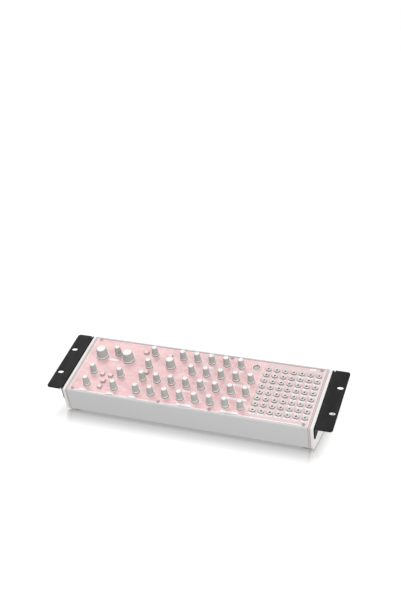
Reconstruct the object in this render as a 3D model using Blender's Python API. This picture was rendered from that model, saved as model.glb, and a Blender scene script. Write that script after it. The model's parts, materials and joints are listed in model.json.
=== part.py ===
"""Eurorack synthesizer module, 80 HP wide, in its wedge-shaped desktop case with two rack ears.

Metres, +Z up. The front panel slopes towards the player. All that is fixed square to it is modelled
in the panel's own frame: X to the right, Y up the slope, Z out of the panel, z = 0 on its top face.
That frame is one empty, the deck, which tilts and lifts the whole case onto its four feet.
"""
import math
from collections import namedtuple

import bmesh
import bpy
from mathutils import Matrix, Vector

# Module and rack standards
HP = 0.00508
PANEL_UNITS = 80
PANEL_WIDTH = PANEL_UNITS * HP
PANEL_DEPTH = 0.1285
RACK_WIDTH = 0.4826
SLOT_INSET = 0.00875
SLOT_SPACING_X = RACK_WIDTH - 2 * SLOT_INSET
SLOT_SPACING_Y = 0.05715
SCREW_INSET = 0.0030
SCREW_ROW_SPACING = PANEL_DEPTH - 2 * SCREW_INSET
SCREW_EDGE_UNITS = 1.5
SCREW_STEP_UNITS = 30
SCREW_HOLE_RADIUS = 0.0016
HOLE_SIDES = 6

# Clearance between pieces that seat or run in each other, and the overrun of every cutter
FIT = 0.0003
OVERRUN = 0.0004

# Folded case
PANEL_TILT = math.radians(20)
PANEL_THICKNESS = 0.0020
SHEET = 0.0012
LIP_WIDTH = 0.00345
FRONT_HEIGHT = 0.0432
FLANGE_REACH = 0.0075
CASE_BEND = 0.0018
BEND_STEPS = 3
CASE_DEPTH = PANEL_DEPTH + 2 * (FIT + LIP_WIDTH)
REAR_HEIGHT = FRONT_HEIGHT + CASE_DEPTH * math.tan(PANEL_TILT)

# End cheeks
CHEEK_THICKNESS = 0.0085
CHEEK_CHAMFER = 0.0009
TONGUE = 0.0030
CHEEK_INNER = PANEL_WIDTH / 2 + FIT
CASE_WIDTH = 2 * (CHEEK_INNER + CHEEK_THICKNESS)

# Rack ears
EAR_THICKNESS = 0.0020
EAR_SETBACK = 0.00175
EAR_DEPTH = CASE_DEPTH - 2 * EAR_SETBACK
EAR_DROP = 0.0223
EAR_BEND = 0.0024
EAR_CORNER = 0.0045
CORNER_STEPS = 4
EAR_INNER = CASE_WIDTH / 2 + FIT
SLOT_LENGTH = 0.0103
SLOT_WIDTH = 0.0069
SLOT_STEPS = 5
RELIEF_WIDTH = 0.0020
RELIEF_LENGTH = 0.0030
EAR_SCREW_SPACING = 0.0800
EAR_SCREW_DROP = 0.0135
EAR_SCREW_HOLE_RADIUS = 0.0021
SCREW_SIDES = 8

# Knobs: a grid of 8 columns and 4 rows, whose first place is the front left one
KNOB_PITCH_UNITS = 5
KNOB_PITCH_X = KNOB_PITCH_UNITS * HP
KNOB_ROWS = 4
KNOB_FIELD_UNITS = 22.75
KNOB_FIELD_MARGIN = 0.0175
KNOB_REAR_MARGIN = 0.0205
KNOB_PITCH_Y = (PANEL_DEPTH - KNOB_FIELD_MARGIN - KNOB_REAR_MARGIN) / (KNOB_ROWS - 1)
SPINDLE_RADIUS = 0.0030
KNOB_LIFT = 0.0008
SMALL_SKIRT_RADIUS = 0.0062
SMALL_SHOULDER_RADIUS = 0.0057
SMALL_CAP_RADIUS = 0.0046
SMALL_KNOB_HEIGHT = 0.0155
MEDIUM_SKIRT_RADIUS = 0.0085
MEDIUM_SHOULDER_RADIUS = 0.0079
MEDIUM_CAP_RADIUS = 0.0062
MEDIUM_KNOB_HEIGHT = 0.0162
LARGE_SKIRT_RADIUS = 0.0105
LARGE_SHOULDER_RADIUS = 0.0098
LARGE_CAP_RADIUS = 0.0077
LARGE_KNOB_HEIGHT = 0.0168
SKIRT_HEIGHT = 0.0020
FLUTE_DEPTH = 0.0005
SMALL_SIDES = 10
LARGE_SIDES = 24

# Push buttons
BUTTON_WIDTH = 0.0070
BUTTON_CORNER = 0.0010
BUTTON_CORNER_STEPS = 2
BUTTON_FLANGE_LAP = 0.0010
BUTTON_FLANGE = 0.0010
BUTTON_HEIGHT = 0.0036
BUTTON_CHAMFER = 0.0005
BUTTON_TRAVEL = 0.0015

# Patch bay: its columns lie about a line 30 HP right of the panel's middle
PATCH_COLUMNS = 7
PATCH_ROWS = 8
PATCH_CENTRE_UNITS = 30
PATCH_PITCH_UNITS = 2.75
PATCH_PITCH_X = PATCH_PITCH_UNITS * HP
PATCH_FIELD_MARGIN = 0.0162
PATCH_REAR_MARGIN = 0.01805
PATCH_PITCH_Y = (PANEL_DEPTH - PATCH_FIELD_MARGIN - PATCH_REAR_MARGIN) / (PATCH_ROWS - 1)
SOCKET_BUSH_RADIUS = 0.0029
SOCKET_NUT_RADIUS = 0.0044
SOCKET_NUT_HEIGHT = 0.0020
SOCKET_BORE_RADIUS = 0.00175
SOCKET_BORE_DEPTH = 0.0090
SOCKET_SIDES = 6

# Five-pin sockets
DIN_RADIUS = 0.0076
DIN_RIM = 0.0009
DIN_RECESS = 0.0012
DIN_PROUD = 0.0006
DIN_KEY_WIDTH = 0.0022
DIN_KEY_DEPTH = 0.0005
DIN_PIN_CIRCLE = 0.00375
DIN_PIN_RADIUS = 0.0009
DIN_PIN_DEPTH = 0.0060
DIN_PINS = 5
DIN_PIN_STEP = math.radians(45)
DIN_PIN_SIDES = 4
DIN_SIDES = 16

# Boards inside the case
BOARD = 0.0016
BOARD_DROP = 0.0095
BOARD_MARGIN = 0.01025
BOARD_DEPTH = PANEL_DEPTH - 2 * BOARD_MARGIN
BOARD_GAP = 0.0010
MAIN_BOARD_DROP = 0.0110
MAIN_BOARD_DEPTH = 0.0760
MAIN_BOARD_UNITS = 60
HEADER_LENGTH = 0.0400
HEADER_WIDTH = 0.0050
POT_WIDTH = 0.0096
POT_DEPTH = 0.0110
KEY_SWITCH_SIZE = 0.0062

# Rear connectors, along one line below the panel's rear edge
REAR_LINE_DROP = 0.0310
REAR_BOARD_DROP = 0.0092
REAR_BOARD_DEPTH = 0.0270
REAR_SETBACK = 0.0020
REAR_MARGIN = 0.0100
BIG_JACK_WIDTH = 0.0150
BIG_JACK_DEPTH = 0.0220
BIG_JACK_BUSH_RADIUS = 0.0048
BIG_JACK_BORE_RADIUS = 0.00325
BIG_JACK_BORE_DEPTH = 0.0240
BIG_JACK_NUT_RADIUS = 0.0078
BIG_JACK_NUT_HEIGHT = 0.0022
BIG_JACK_SIDES = 8
NUT_SIDES = 6
USB_WIDTH = 0.0120
USB_HEIGHT = 0.0108
USB_WALL = 0.0016
USB_TONGUE_WIDTH = 0.0056
USB_TONGUE_HEIGHT = 0.0032
USB_CAVITY = 0.0090
INLET_WIDTH = 0.0092
INLET_HEIGHT = 0.0110
INLET_BORE_RADIUS = 0.0032
INLET_PIN_RADIUS = 0.0010
INLET_CAVITY = 0.0090
INLET_RECESS = 0.0015
INLET_SIDES = 8
BOX_DEPTH = 0.0150
THRU_WIDTH = 0.0190
THRU_DEPTH = 0.0120
PEDESTAL_INSET = 0.0006

# Power switch
SWITCH_WIDTH = 0.0130
SWITCH_WALL = 0.0014
SWITCH_BEZEL = 0.0012
SWITCH_BEZEL_OVERLAP = 0.0015
ROCKER_RADIUS = 0.0085
ROCKER_FACE = 0.0045
ROCKER_TILT = math.radians(10)
ROCKER_BACK_ANGLE = math.radians(12)
ROCKER_STEPS = 3

# Ribbon cable, hanging in a U between the two boards
RIBBON_WIDTH = 0.0200
RIBBON_THICKNESS = 0.0010
RIBBON_SAG = 0.0240
RIBBON_PLUG_HEIGHT = 0.0050
RIBBON_PLUG_WIDTH = 0.0060
RIBBON_HEADER_HEIGHT = 0.0060
RIBBON_STEPS = 12

# Feet
FOOT_RADIUS = 0.0080
FOOT_TAPER = 0.0007
FOOT_HEIGHT = 0.0022
FOOT_INSET = 0.0150
FOOT_SIDES = 12

SMOOTH_ANGLE = math.radians(35)

KnobSize = namedtuple("KnobSize", "skirt shoulder cap height sides flute")
SMALL_KNOB = KnobSize(SMALL_SKIRT_RADIUS, SMALL_SHOULDER_RADIUS, SMALL_CAP_RADIUS,
                      SMALL_KNOB_HEIGHT, SMALL_SIDES, 0)
MEDIUM_KNOB = KnobSize(MEDIUM_SKIRT_RADIUS, MEDIUM_SHOULDER_RADIUS, MEDIUM_CAP_RADIUS,
                       MEDIUM_KNOB_HEIGHT, LARGE_SIDES, FLUTE_DEPTH)
LARGE_KNOB = KnobSize(LARGE_SKIRT_RADIUS, LARGE_SHOULDER_RADIUS, LARGE_CAP_RADIUS,
                      LARGE_KNOB_HEIGHT, LARGE_SIDES, FLUTE_DEPTH)

# Places on the knob grid, in shares of its two pitches: column to the right, row up the slope
SMALL_KNOB_GRID_SHARES = {
    3: (0, 2, 3, 4, 5, 6),
    2: (0, 3, 4, 5, 6, 7),
    1: (0, 1, 2, 3, 4, 5, 6, 7),
    0: (0, 1, 2, 3, 4, 5, 6, 7),
}
LEFT_KNOB_SHARES = ((-3.48, 0), (-1.56, 0), (-3.48, 1), (-1.56, 1), (-2.50, 2.63))
LARGE_KNOB_SHARES = ((-3.5, 2.29), (-1.6, 2.29))
MEDIUM_KNOB_SHARE = (1.42, 2.24)
BUTTON_SHARES = ((-2.79, 0.87), (-2.20, 0.85), (-2.50, 0.36), (-2.52, -0.09),
                 (-0.63, 3.0), (0.04, 1.49), (1.07, 3.0))
MIDI_IN_SHARE = (6.98, 3.09)

# Places of the rear connectors, in shares of the panel's width from its middle
SWITCH_SHARE = 0.41
INLET_SHARE = 0.345
USB_SHARE = 0.285
THRU_SHARE = 0.21
OUTPUT_SHARES = (0.13, 0.07)
RIBBON_SHARE = -0.02
HEADER_SHARES = (-0.22, 0.04, 0.32)
BOXED_CONNECTORS = ((INLET_SHARE, INLET_WIDTH, INLET_HEIGHT), (USB_SHARE, USB_WIDTH, USB_HEIGHT))

# Outlines are drawn in a plane and pushed along its normal: (u, v, w) becomes (w, u, v) or (u, w, v)
ALONG_X = Matrix(((0, 0, 1, 0), (1, 0, 0, 0), (0, 1, 0, 0), (0, 0, 0, 1)))
ALONG_Y = Matrix(((1, 0, 0, 0), (0, 0, 1, 0), (0, 1, 0, 0), (0, 0, 0, 1)))
ALONG_Z = Matrix()


def clear_scene():
    for item in list(bpy.data.objects):
        bpy.data.objects.remove(item, do_unlink=True)


def material(name, colour, roughness, metallic=0.0):
    made = bpy.data.materials.new(name)
    made.use_nodes = True
    shader = made.node_tree.nodes["Principled BSDF"]
    shader.inputs["Base Color"].default_value = (*colour, 1.0)
    shader.inputs["Roughness"].default_value = roughness
    shader.inputs["Metallic"].default_value = metallic
    return made


# Outlines

def rectangle(u_low, u_high, v_low, v_high):
    return [(u_low, v_low), (u_high, v_low), (u_high, v_high), (u_low, v_high)]


def centred(u, v, width, height):
    return rectangle(u - width / 2, u + width / 2, v - height / 2, v + height / 2)


def ring(radius, sides, u=0.0, v=0.0):
    step = math.tau / sides
    return [(u + radius * math.cos(step * i), v + radius * math.sin(step * i)) for i in range(sides)]


def bore(radius, sides, u=0.0, v=0.0):
    """A polygon that a round pin of the given radius just passes through."""
    return ring(radius / math.cos(math.pi / sides), sides, u, v)


def stadium(length, width, steps, u=0.0, v=0.0):
    """A slot outline with round ends, long in u."""
    radius = width / 2
    reach = length / 2 - radius
    points = []
    for i in range(steps + 1):
        angle = -math.pi / 2 + math.pi * i / steps
        points.append((u + reach + radius * math.cos(angle), v + radius * math.sin(angle)))
    for i in range(steps + 1):
        angle = math.pi / 2 + math.pi * i / steps
        points.append((u - reach + radius * math.cos(angle), v + radius * math.sin(angle)))
    return points


def fillet(before, corner, after, radius, steps):
    """The points of an arc that rounds one corner of a path."""
    corner = Vector(corner)
    back = (Vector(before) - corner).normalized()
    ahead = (Vector(after) - corner).normalized()
    half = back.angle(ahead) / 2
    centre = corner + (back + ahead).normalized() * radius / math.sin(half)
    start = corner + back * radius / math.tan(half) - centre
    end = corner + ahead * radius / math.tan(half) - centre
    sweep = math.atan2(start.x * end.y - start.y * end.x, start.dot(end))
    return [tuple(centre + Matrix.Rotation(sweep * i / steps, 2) @ start) for i in range(steps + 1)]


def offset_left(path, distance):
    """The path moved to its left by a distance, mitred at its corners."""
    points = [Vector(p) for p in path]
    sides = []
    for a, b in zip(points, points[1:]):
        run = (b - a).normalized()
        sides.append(Vector((-run.y, run.x)))
    moved = [points[0] + sides[0] * distance]
    for point, one, two in zip(points[1:-1], sides, sides[1:]):
        moved.append(point + (one + two) * distance / (1 + one.dot(two)))
    moved.append(points[-1] + sides[-1] * distance)
    return [tuple(p) for p in moved]


def folded(path, thickness):
    """The section of a sheet whose outer face follows the path."""
    return path + offset_left(path, thickness)[::-1]


# Solids

def add_prism(solid, outline, low, high, frame=ALONG_Z):
    """Push an outline from one height to another along the frame's third axis."""
    corners = [solid.verts.new(frame @ Vector((u, v, low))) for u, v in outline]
    face = solid.faces.new(corners)
    grown = bmesh.ops.extrude_face_region(solid, geom=[face])["geom"]
    moved = [item for item in grown if isinstance(item, bmesh.types.BMVert)]
    bmesh.ops.translate(solid, verts=moved, vec=frame.to_3x3() @ Vector((0, 0, high - low)))


def add_loft(solid, loops):
    """Skin a stack of like loops and close both ends."""
    rows = [[solid.verts.new(point) for point in loop] for loop in loops]
    solid.faces.new(rows[0])
    solid.faces.new(rows[-1])
    for low, high in zip(rows, rows[1:]):
        for i, vert in enumerate(low):
            after = (i + 1) % len(low)
            solid.faces.new((vert, low[after], high[after], high[i]))


def add_turned(solid, profile, sides, u=0.0, v=0.0):
    """Turn a profile of (radius, height) pairs about the third axis."""
    loops = []
    for radius, height in profile:
        loops.append([(x, y, height) for x, y in ring(radius, sides, u, v)])
    add_loft(solid, loops)


def make(name, solid, finish, parent=None, smooth=False):
    """Turn a bmesh into a named object."""
    bmesh.ops.recalc_face_normals(solid, faces=solid.faces)
    mesh = bpy.data.meshes.new(name)
    solid.to_mesh(mesh)
    solid.free()
    if smooth:
        mesh.shade_smooth()
        mesh.set_sharp_from_angle(angle=SMOOTH_ANGLE)
    mesh.materials.append(finish)
    piece = bpy.data.objects.new(name, mesh)
    bpy.context.collection.objects.link(piece)
    piece.parent = parent
    return piece


def combine(piece, solid, operation):
    """Cut a solid out of a piece, or weld it on, with a Boolean that stays on the piece."""
    name = piece.name + "_" + operation.lower() + str(len(piece.modifiers))
    tool = make(name, solid, piece.data.materials[0], piece.parent)
    tool.hide_render = True
    tool.display_type = "WIRE"
    step = piece.modifiers.new(operation.lower(), "BOOLEAN")
    step.operation = operation
    step.solver = "EXACT"
    step.object = tool


# Places on the panel

def knob_place(column, row):
    x = -PANEL_WIDTH / 2 + KNOB_FIELD_UNITS * HP + column * KNOB_PITCH_X
    y = -PANEL_DEPTH / 2 + KNOB_FIELD_MARGIN + row * KNOB_PITCH_Y
    return x, y


def knob_places():
    """Name, size and place of every knob."""
    places = []
    for row, columns in SMALL_KNOB_GRID_SHARES.items():
        for column in columns:
            name = f"small_knob_row_{row + 1}_column_{column + 1}"
            places.append((name, SMALL_KNOB, knob_place(column, row)))
    for number, share in enumerate(LEFT_KNOB_SHARES, 1):
        places.append((f"small_knob_left_{number}", SMALL_KNOB, knob_place(*share)))
    for side, share in zip(("left", "right"), LARGE_KNOB_SHARES):
        places.append((f"large_knob_{side}", LARGE_KNOB, knob_place(*share)))
    places.append(("medium_knob", MEDIUM_KNOB, knob_place(*MEDIUM_KNOB_SHARE)))
    return places


def button_places():
    return [knob_place(*share) for share in BUTTON_SHARES]


def socket_places():
    centre = PATCH_CENTRE_UNITS * HP
    front = -PANEL_DEPTH / 2 + PATCH_FIELD_MARGIN
    places = []
    for row in range(PATCH_ROWS):
        for column in range(PATCH_COLUMNS):
            x = centre + (column - (PATCH_COLUMNS - 1) / 2) * PATCH_PITCH_X
            places.append((x, front + row * PATCH_PITCH_Y))
    return places


def screw_places():
    edge = PANEL_WIDTH / 2 - SCREW_EDGE_UNITS * HP
    inner = edge - SCREW_STEP_UNITS * HP
    row = SCREW_ROW_SPACING / 2
    return [(x, y) for x in (-edge, -inner, inner, edge) for y in (-row, row)]


# Heights in the panel's frame

PANEL_UNDERSIDE = -PANEL_THICKNESS
SEAT = PANEL_UNDERSIDE - FIT
BOARD_TOP = PANEL_UNDERSIDE - BOARD_DROP
BOARD_UNDERSIDE = BOARD_TOP - BOARD
MAIN_TOP = BOARD_UNDERSIDE - MAIN_BOARD_DROP
MAIN_UNDERSIDE = MAIN_TOP - BOARD
REAR_LINE = -REAR_LINE_DROP
REAR_BOARD_TOP = REAR_LINE - REAR_BOARD_DROP
REAR_BOARD_UNDERSIDE = REAR_BOARD_TOP - BOARD
REAR_FACE = CASE_DEPTH / 2
REAR_INSIDE = REAR_FACE - SHEET
BOARD_EDGE = CHEEK_INNER - TONGUE - BOARD_GAP


# Case

def case_corners(inset=0.0):
    """Side view of the case in the panel's frame, (y, z), moved inwards by an inset."""
    reach = CASE_DEPTH / 2 - inset
    slope = math.tan(PANEL_TILT)
    lift = inset / math.cos(PANEL_TILT)
    front = -FRONT_HEIGHT + lift - inset * slope
    rear = -REAR_HEIGHT + lift + inset * slope
    return [(-reach, -inset), (-reach, front), (reach, rear), (reach, -inset)]


def rounded_corners(corners, radius, steps=BEND_STEPS):
    points = []
    for i, corner in enumerate(corners):
        after = corners[(i + 1) % len(corners)]
        points += fillet(corners[i - 1], corner, after, radius, steps)
    return points


def make_case_shell(deck, finish):
    top_front, low_front, low_rear, top_rear = case_corners()
    joggle = PANEL_DEPTH / 2 + FIT
    flange = joggle - FLANGE_REACH
    path = [(-flange, SEAT), (-joggle, SEAT), (-joggle, 0)]
    path += fillet((-joggle, 0), top_front, low_front, CASE_BEND, BEND_STEPS)
    path += fillet(top_front, low_front, low_rear, CASE_BEND, BEND_STEPS)
    path += fillet(low_front, low_rear, top_rear, CASE_BEND, BEND_STEPS)
    path += fillet(low_rear, top_rear, (joggle, 0), CASE_BEND, BEND_STEPS)
    path += [(joggle, 0), (joggle, SEAT), (flange, SEAT)]
    solid = bmesh.new()
    add_prism(solid, folded(path, SHEET), -PANEL_WIDTH / 2, PANEL_WIDTH / 2, ALONG_X)
    shell = make("case_shell", solid, finish, deck)
    holes = bmesh.new()
    for outline in rear_cutouts():
        add_prism(holes, outline, REAR_INSIDE - OVERRUN, REAR_FACE + OVERRUN, ALONG_Y)
    combine(shell, holes, "DIFFERENCE")


def make_cheek(name, side, deck, finish):
    """A moulded end plate whose tongue fits inside the end of the folded sheet."""
    inner = side * CHEEK_INNER
    outer = side * CASE_WIDTH / 2
    edge = outer - side * CHEEK_CHAMFER
    full = rounded_corners(case_corners(), CASE_BEND)
    small = rounded_corners(case_corners(CHEEK_CHAMFER), CASE_BEND - CHEEK_CHAMFER)
    solid = bmesh.new()
    add_loft(solid, [[(inner, y, z) for y, z in full],
                     [(edge, y, z) for y, z in full],
                     [(outer, y, z) for y, z in small]])
    cheek = make(name, solid, finish, deck)
    inset = SHEET + FIT
    top = SEAT - inset
    tongue = case_corners(inset)
    tongue[0] = (tongue[0][0], top)
    tongue[3] = (tongue[3][0], top)
    solid = bmesh.new()
    add_prism(solid, rounded_corners(tongue, CASE_BEND), inner + side * OVERRUN, inner - side * TONGUE,
              ALONG_X)
    combine(cheek, solid, "UNION")


def make_ear(name, side, deck, finish):
    """A steel plate in the panel's plane, bent down against the cheek, with two rack slots."""
    outer = side * RACK_WIDTH / 2
    inner = side * EAR_INNER
    reach = EAR_DEPTH / 2
    path = [(RACK_WIDTH / 2, 0)]
    path += fillet((RACK_WIDTH / 2, 0), (EAR_INNER, 0), (EAR_INNER, -EAR_DROP), EAR_BEND, BEND_STEPS)
    path += [(EAR_INNER, -EAR_DROP)]
    section = [(side * x, z) for x, z in folded(path, EAR_THICKNESS)]
    solid = bmesh.new()
    add_prism(solid, section, -reach, reach, ALONG_Y)
    ear = make(name, solid, finish, deck)
    low = -EAR_THICKNESS - OVERRUN
    cuts = bmesh.new()
    for end in (-1, 1):
        slot = stadium(SLOT_LENGTH, SLOT_WIDTH, SLOT_STEPS, side * SLOT_SPACING_X / 2,
                       end * SLOT_SPACING_Y / 2)
        add_prism(cuts, slot, low, OVERRUN)
        corner = (outer, end * reach)
        along = (outer - side * EAR_CORNER, end * reach)
        across = (outer, end * (reach - EAR_CORNER))
        arc = fillet(along, corner, across, EAR_CORNER, CORNER_STEPS)
        beyond_x = outer + side * OVERRUN
        beyond_y = end * (reach + OVERRUN)
        add_prism(cuts, arc + [(beyond_x, across[1]), (beyond_x, beyond_y), (along[0], beyond_y)],
                  low, OVERRUN)
        relief = inner + side * EAR_BEND
        notch = rectangle(relief, relief + side * RELIEF_WIDTH, end * (reach - RELIEF_LENGTH), beyond_y)
        add_prism(cuts, notch, low, OVERRUN)
        hole = bore(EAR_SCREW_HOLE_RADIUS, SCREW_SIDES, end * EAR_SCREW_SPACING / 2, -EAR_SCREW_DROP)
        wall = EAR_INNER + EAR_THICKNESS
        add_prism(cuts, hole, side * (EAR_INNER - OVERRUN), side * (wall + OVERRUN), ALONG_X)
    combine(ear, cuts, "DIFFERENCE")


def make_feet(finish):
    """Four rubber discs under the level base, in the world's own axes."""
    reach = CASE_WIDTH / 2 - FOOT_INSET
    front, rear = base_edges()
    for row, y in (("front", front + FOOT_INSET), ("rear", rear - FOOT_INSET)):
        for side, x in (("left", -reach), ("right", reach)):
            solid = bmesh.new()
            profile = [(FOOT_RADIUS - 2 * FOOT_TAPER, 0), (FOOT_RADIUS - FOOT_TAPER, FOOT_TAPER),
                       (FOOT_RADIUS, FOOT_HEIGHT)]
            add_turned(solid, profile, FOOT_SIDES)
            foot = make(f"foot_{row}_{side}", solid, finish, smooth=True)
            foot.location = (x, y, 0)


# Panel and controls

def make_panel(deck, finish):
    solid = bmesh.new()
    add_prism(solid, centred(0, 0, PANEL_WIDTH, PANEL_DEPTH), PANEL_UNDERSIDE, 0)
    panel = make("front_panel", solid, finish, deck)
    holes = bmesh.new()
    outlines = [bore(SPINDLE_RADIUS + FIT, HOLE_SIDES, *place) for _, _, place in knob_places()]
    outlines += [bore(SOCKET_BUSH_RADIUS + FIT, HOLE_SIDES, *place) for place in socket_places()]
    outlines += [button_outline(FIT, *place) for place in button_places()]
    outlines += [bore(SCREW_HOLE_RADIUS, HOLE_SIDES, *place) for place in screw_places()]
    outlines.append(ring(DIN_RADIUS + FIT, DIN_SIDES, *knob_place(*MIDI_IN_SHARE)))
    for outline in outlines:
        add_prism(holes, outline, PANEL_UNDERSIDE - OVERRUN, OVERRUN)
    combine(panel, holes, "DIFFERENCE")


def make_knob(name, size, place, deck, finish):
    """A moulding and the potentiometer spindle that it is pressed on, turning as one.

    The small knob's skirt is a plain flare. The larger knobs have a skirt band, a step and flutes.
    """
    levels = [
        (SPINDLE_RADIUS, SEAT + FIT, 0),
        (SPINDLE_RADIUS, KNOB_LIFT, 0),
        (size.skirt, KNOB_LIFT, 0),
    ]
    if size.flute:
        levels.append((size.skirt, KNOB_LIFT + SKIRT_HEIGHT, 0))
    levels.append((size.shoulder, KNOB_LIFT + SKIRT_HEIGHT, size.flute))
    levels.append((size.cap, KNOB_LIFT + size.height, size.flute))
    loops = []
    for radius, height, flute in levels:
        outline = ring(1, size.sides)
        loops.append([((radius - flute * (i % 2)) * x, (radius - flute * (i % 2)) * y, height)
                      for i, (x, y) in enumerate(outline)])
    solid = bmesh.new()
    add_loft(solid, loops)
    knob = make(name, solid, finish, deck, smooth=True)
    knob.location = (*place, 0)


def button_outline(growth, u=0.0, v=0.0):
    """A square cap's outline with round corners, grown or shrunk on every side."""
    width = BUTTON_WIDTH + 2 * growth
    return rounded_corners(centred(u, v, width, width), BUTTON_CORNER + growth, BUTTON_CORNER_STEPS)


def make_button(name, place, deck, finish):
    """A square cap that slides through the panel, kept in by the flange under it."""
    levels = [
        (BUTTON_FLANGE_LAP, SEAT - BUTTON_FLANGE),
        (BUTTON_FLANGE_LAP, SEAT),
        (0, SEAT),
        (0, BUTTON_HEIGHT - BUTTON_CHAMFER),
        (-BUTTON_CHAMFER, BUTTON_HEIGHT),
    ]
    solid = bmesh.new()
    add_loft(solid, [[(u, v, height) for u, v in button_outline(growth)] for growth, height in levels])
    button = make(name, solid, finish, deck, smooth=True)
    button.location = (*place, 0)


def din_recess(u, v):
    """The recess of a five-pin socket: a circle with the plug's key slot at its top."""
    radius = DIN_RADIUS - DIN_RIM
    points = ring(radius, DIN_SIDES, u, v)
    top = DIN_SIDES // 4
    shoulder_u, shoulder_v = points[top - 1]
    half = DIN_KEY_WIDTH / 2
    low = v + radius - (v + radius - shoulder_v) * half / (shoulder_u - u)
    high = v + radius + DIN_KEY_DEPTH
    points[top:top + 1] = [(u + half, low), (u + half, high), (u - half, high), (u - half, low)]
    return points


def din_pin_holes(u, v):
    """The holes, evenly spaced on the half circle away from the key."""
    outlines = []
    for i in range(DIN_PINS):
        angle = -DIN_PIN_STEP * i
        outlines.append(ring(DIN_PIN_RADIUS, DIN_PIN_SIDES, u + DIN_PIN_CIRCLE * math.cos(angle),
                             v + DIN_PIN_CIRCLE * math.sin(angle)))
    return outlines


def make_midi_in(deck, finish):
    x, y = knob_place(*MIDI_IN_SHARE)
    solid = bmesh.new()
    add_prism(solid, ring(DIN_RADIUS, DIN_SIDES, x, y), BOARD_TOP + FIT, DIN_PROUD)
    socket = make("midi_in_socket", solid, finish, deck)
    floor = DIN_PROUD - DIN_RECESS
    recess, pins = bmesh.new(), bmesh.new()
    add_prism(recess, din_recess(x, y), floor, DIN_PROUD + OVERRUN)
    for outline in din_pin_holes(x, y):
        add_prism(pins, outline, floor - DIN_PIN_DEPTH, floor + OVERRUN)
    combine(socket, recess, "DIFFERENCE")
    combine(socket, pins, "DIFFERENCE")


# Boards

def make_control_board(deck, finish):
    right = min(x for x, _ in socket_places()) - PATCH_PITCH_X / 2 - BOARD_GAP / 2
    solid = bmesh.new()
    add_prism(solid, rectangle(-BOARD_EDGE, right, -BOARD_DEPTH / 2, BOARD_DEPTH / 2),
              BOARD_UNDERSIDE, BOARD_TOP)
    board = make("control_board", solid, finish, deck)
    solid = bmesh.new()
    for _, _, (x, y) in knob_places():
        add_prism(solid, centred(x, y, POT_WIDTH, POT_DEPTH), BOARD_TOP - OVERRUN, SEAT)
    key_top = SEAT - BUTTON_FLANGE - BUTTON_TRAVEL - FIT
    for x, y in button_places():
        add_prism(solid, centred(x, y, KEY_SWITCH_SIZE, KEY_SWITCH_SIZE), BOARD_TOP - OVERRUN, key_top)
    combine(board, solid, "UNION")


def make_patch_board(deck, finish):
    """The board of the patch bay, with the open bore, bush and ring nut of each socket."""
    left = min(x for x, _ in socket_places()) - PATCH_PITCH_X / 2 + BOARD_GAP / 2
    solid = bmesh.new()
    add_prism(solid, rectangle(left, BOARD_EDGE, -BOARD_DEPTH / 2, BOARD_DEPTH / 2),
              BOARD_UNDERSIDE, BOARD_TOP)
    board = make("patch_board", solid, finish, deck)
    bushes, nuts, bores = bmesh.new(), bmesh.new(), bmesh.new()
    nut_top = FIT + SOCKET_NUT_HEIGHT
    for place in socket_places():
        add_prism(bushes, ring(SOCKET_BUSH_RADIUS, SOCKET_SIDES, *place), BOARD_TOP - OVERRUN,
                  FIT + OVERRUN)
        add_prism(nuts, ring(SOCKET_NUT_RADIUS, SOCKET_SIDES, *place), FIT, nut_top)
        add_prism(bores, bore(SOCKET_BORE_RADIUS, SOCKET_SIDES, *place), nut_top - SOCKET_BORE_DEPTH,
                  nut_top + OVERRUN)
    combine(board, bushes, "UNION")
    combine(board, nuts, "UNION")
    combine(board, bores, "DIFFERENCE")


def ribbon_x():
    return RIBBON_SHARE * PANEL_WIDTH


def main_board_span():
    front = -BOARD_DEPTH / 2
    return front, front + MAIN_BOARD_DEPTH


def ribbon_main_y():
    return main_board_span()[1] - REAR_MARGIN


def ribbon_rear_y():
    return REAR_INSIDE - REAR_SETBACK - REAR_BOARD_DEPTH / 2


def make_main_board(deck, finish):
    front, rear = main_board_span()
    reach = MAIN_BOARD_UNITS * HP / 2
    solid = bmesh.new()
    add_prism(solid, rectangle(-reach, reach, front, rear), MAIN_UNDERSIDE, MAIN_TOP)
    board = make("main_board", solid, finish, deck)
    solid = bmesh.new()
    for share in HEADER_SHARES:
        outline = centred(share * PANEL_WIDTH, (front + rear) / 2, HEADER_LENGTH, HEADER_WIDTH)
        add_prism(solid, outline, MAIN_TOP - OVERRUN, BOARD_UNDERSIDE - FIT)
    plug = centred(ribbon_x(), ribbon_main_y(), RIBBON_WIDTH, RIBBON_PLUG_WIDTH)
    add_prism(solid, plug, MAIN_UNDERSIDE - RIBBON_HEADER_HEIGHT, MAIN_UNDERSIDE + OVERRUN)
    combine(board, solid, "UNION")


# Rear connectors

def rear_x(share):
    return share * PANEL_WIDTH


def switch_opening():
    """Half height of the hole that the rocker's round ends sweep past."""
    return ROCKER_RADIUS + FIT


def switch_body(growth=0.0):
    height = 2 * (switch_opening() + SWITCH_WALL)
    return centred(rear_x(SWITCH_SHARE), REAR_LINE, SWITCH_WIDTH + 2 * growth, height + 2 * growth)


def rocker_pivot():
    """The rocker's pressed half lies flush with the bezel, so the pivot lies this far behind it."""
    bezel_front = REAR_FACE + FIT + SWITCH_BEZEL
    return bezel_front - ROCKER_FACE * math.cos(ROCKER_TILT)


def rear_cutouts():
    """The holes in the case's rear wall, each its connector's outline and a clearance."""
    outlines = [switch_body(FIT)]
    for share, width, height in BOXED_CONNECTORS:
        outlines.append(centred(rear_x(share), REAR_LINE, width + 2 * FIT, height + 2 * FIT))
    outlines.append(ring(DIN_RADIUS + FIT, DIN_SIDES, rear_x(THRU_SHARE), REAR_LINE))
    for share in OUTPUT_SHARES:
        outlines.append(bore(BIG_JACK_BUSH_RADIUS + FIT, BIG_JACK_SIDES, rear_x(share), REAR_LINE))
    return outlines


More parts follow.
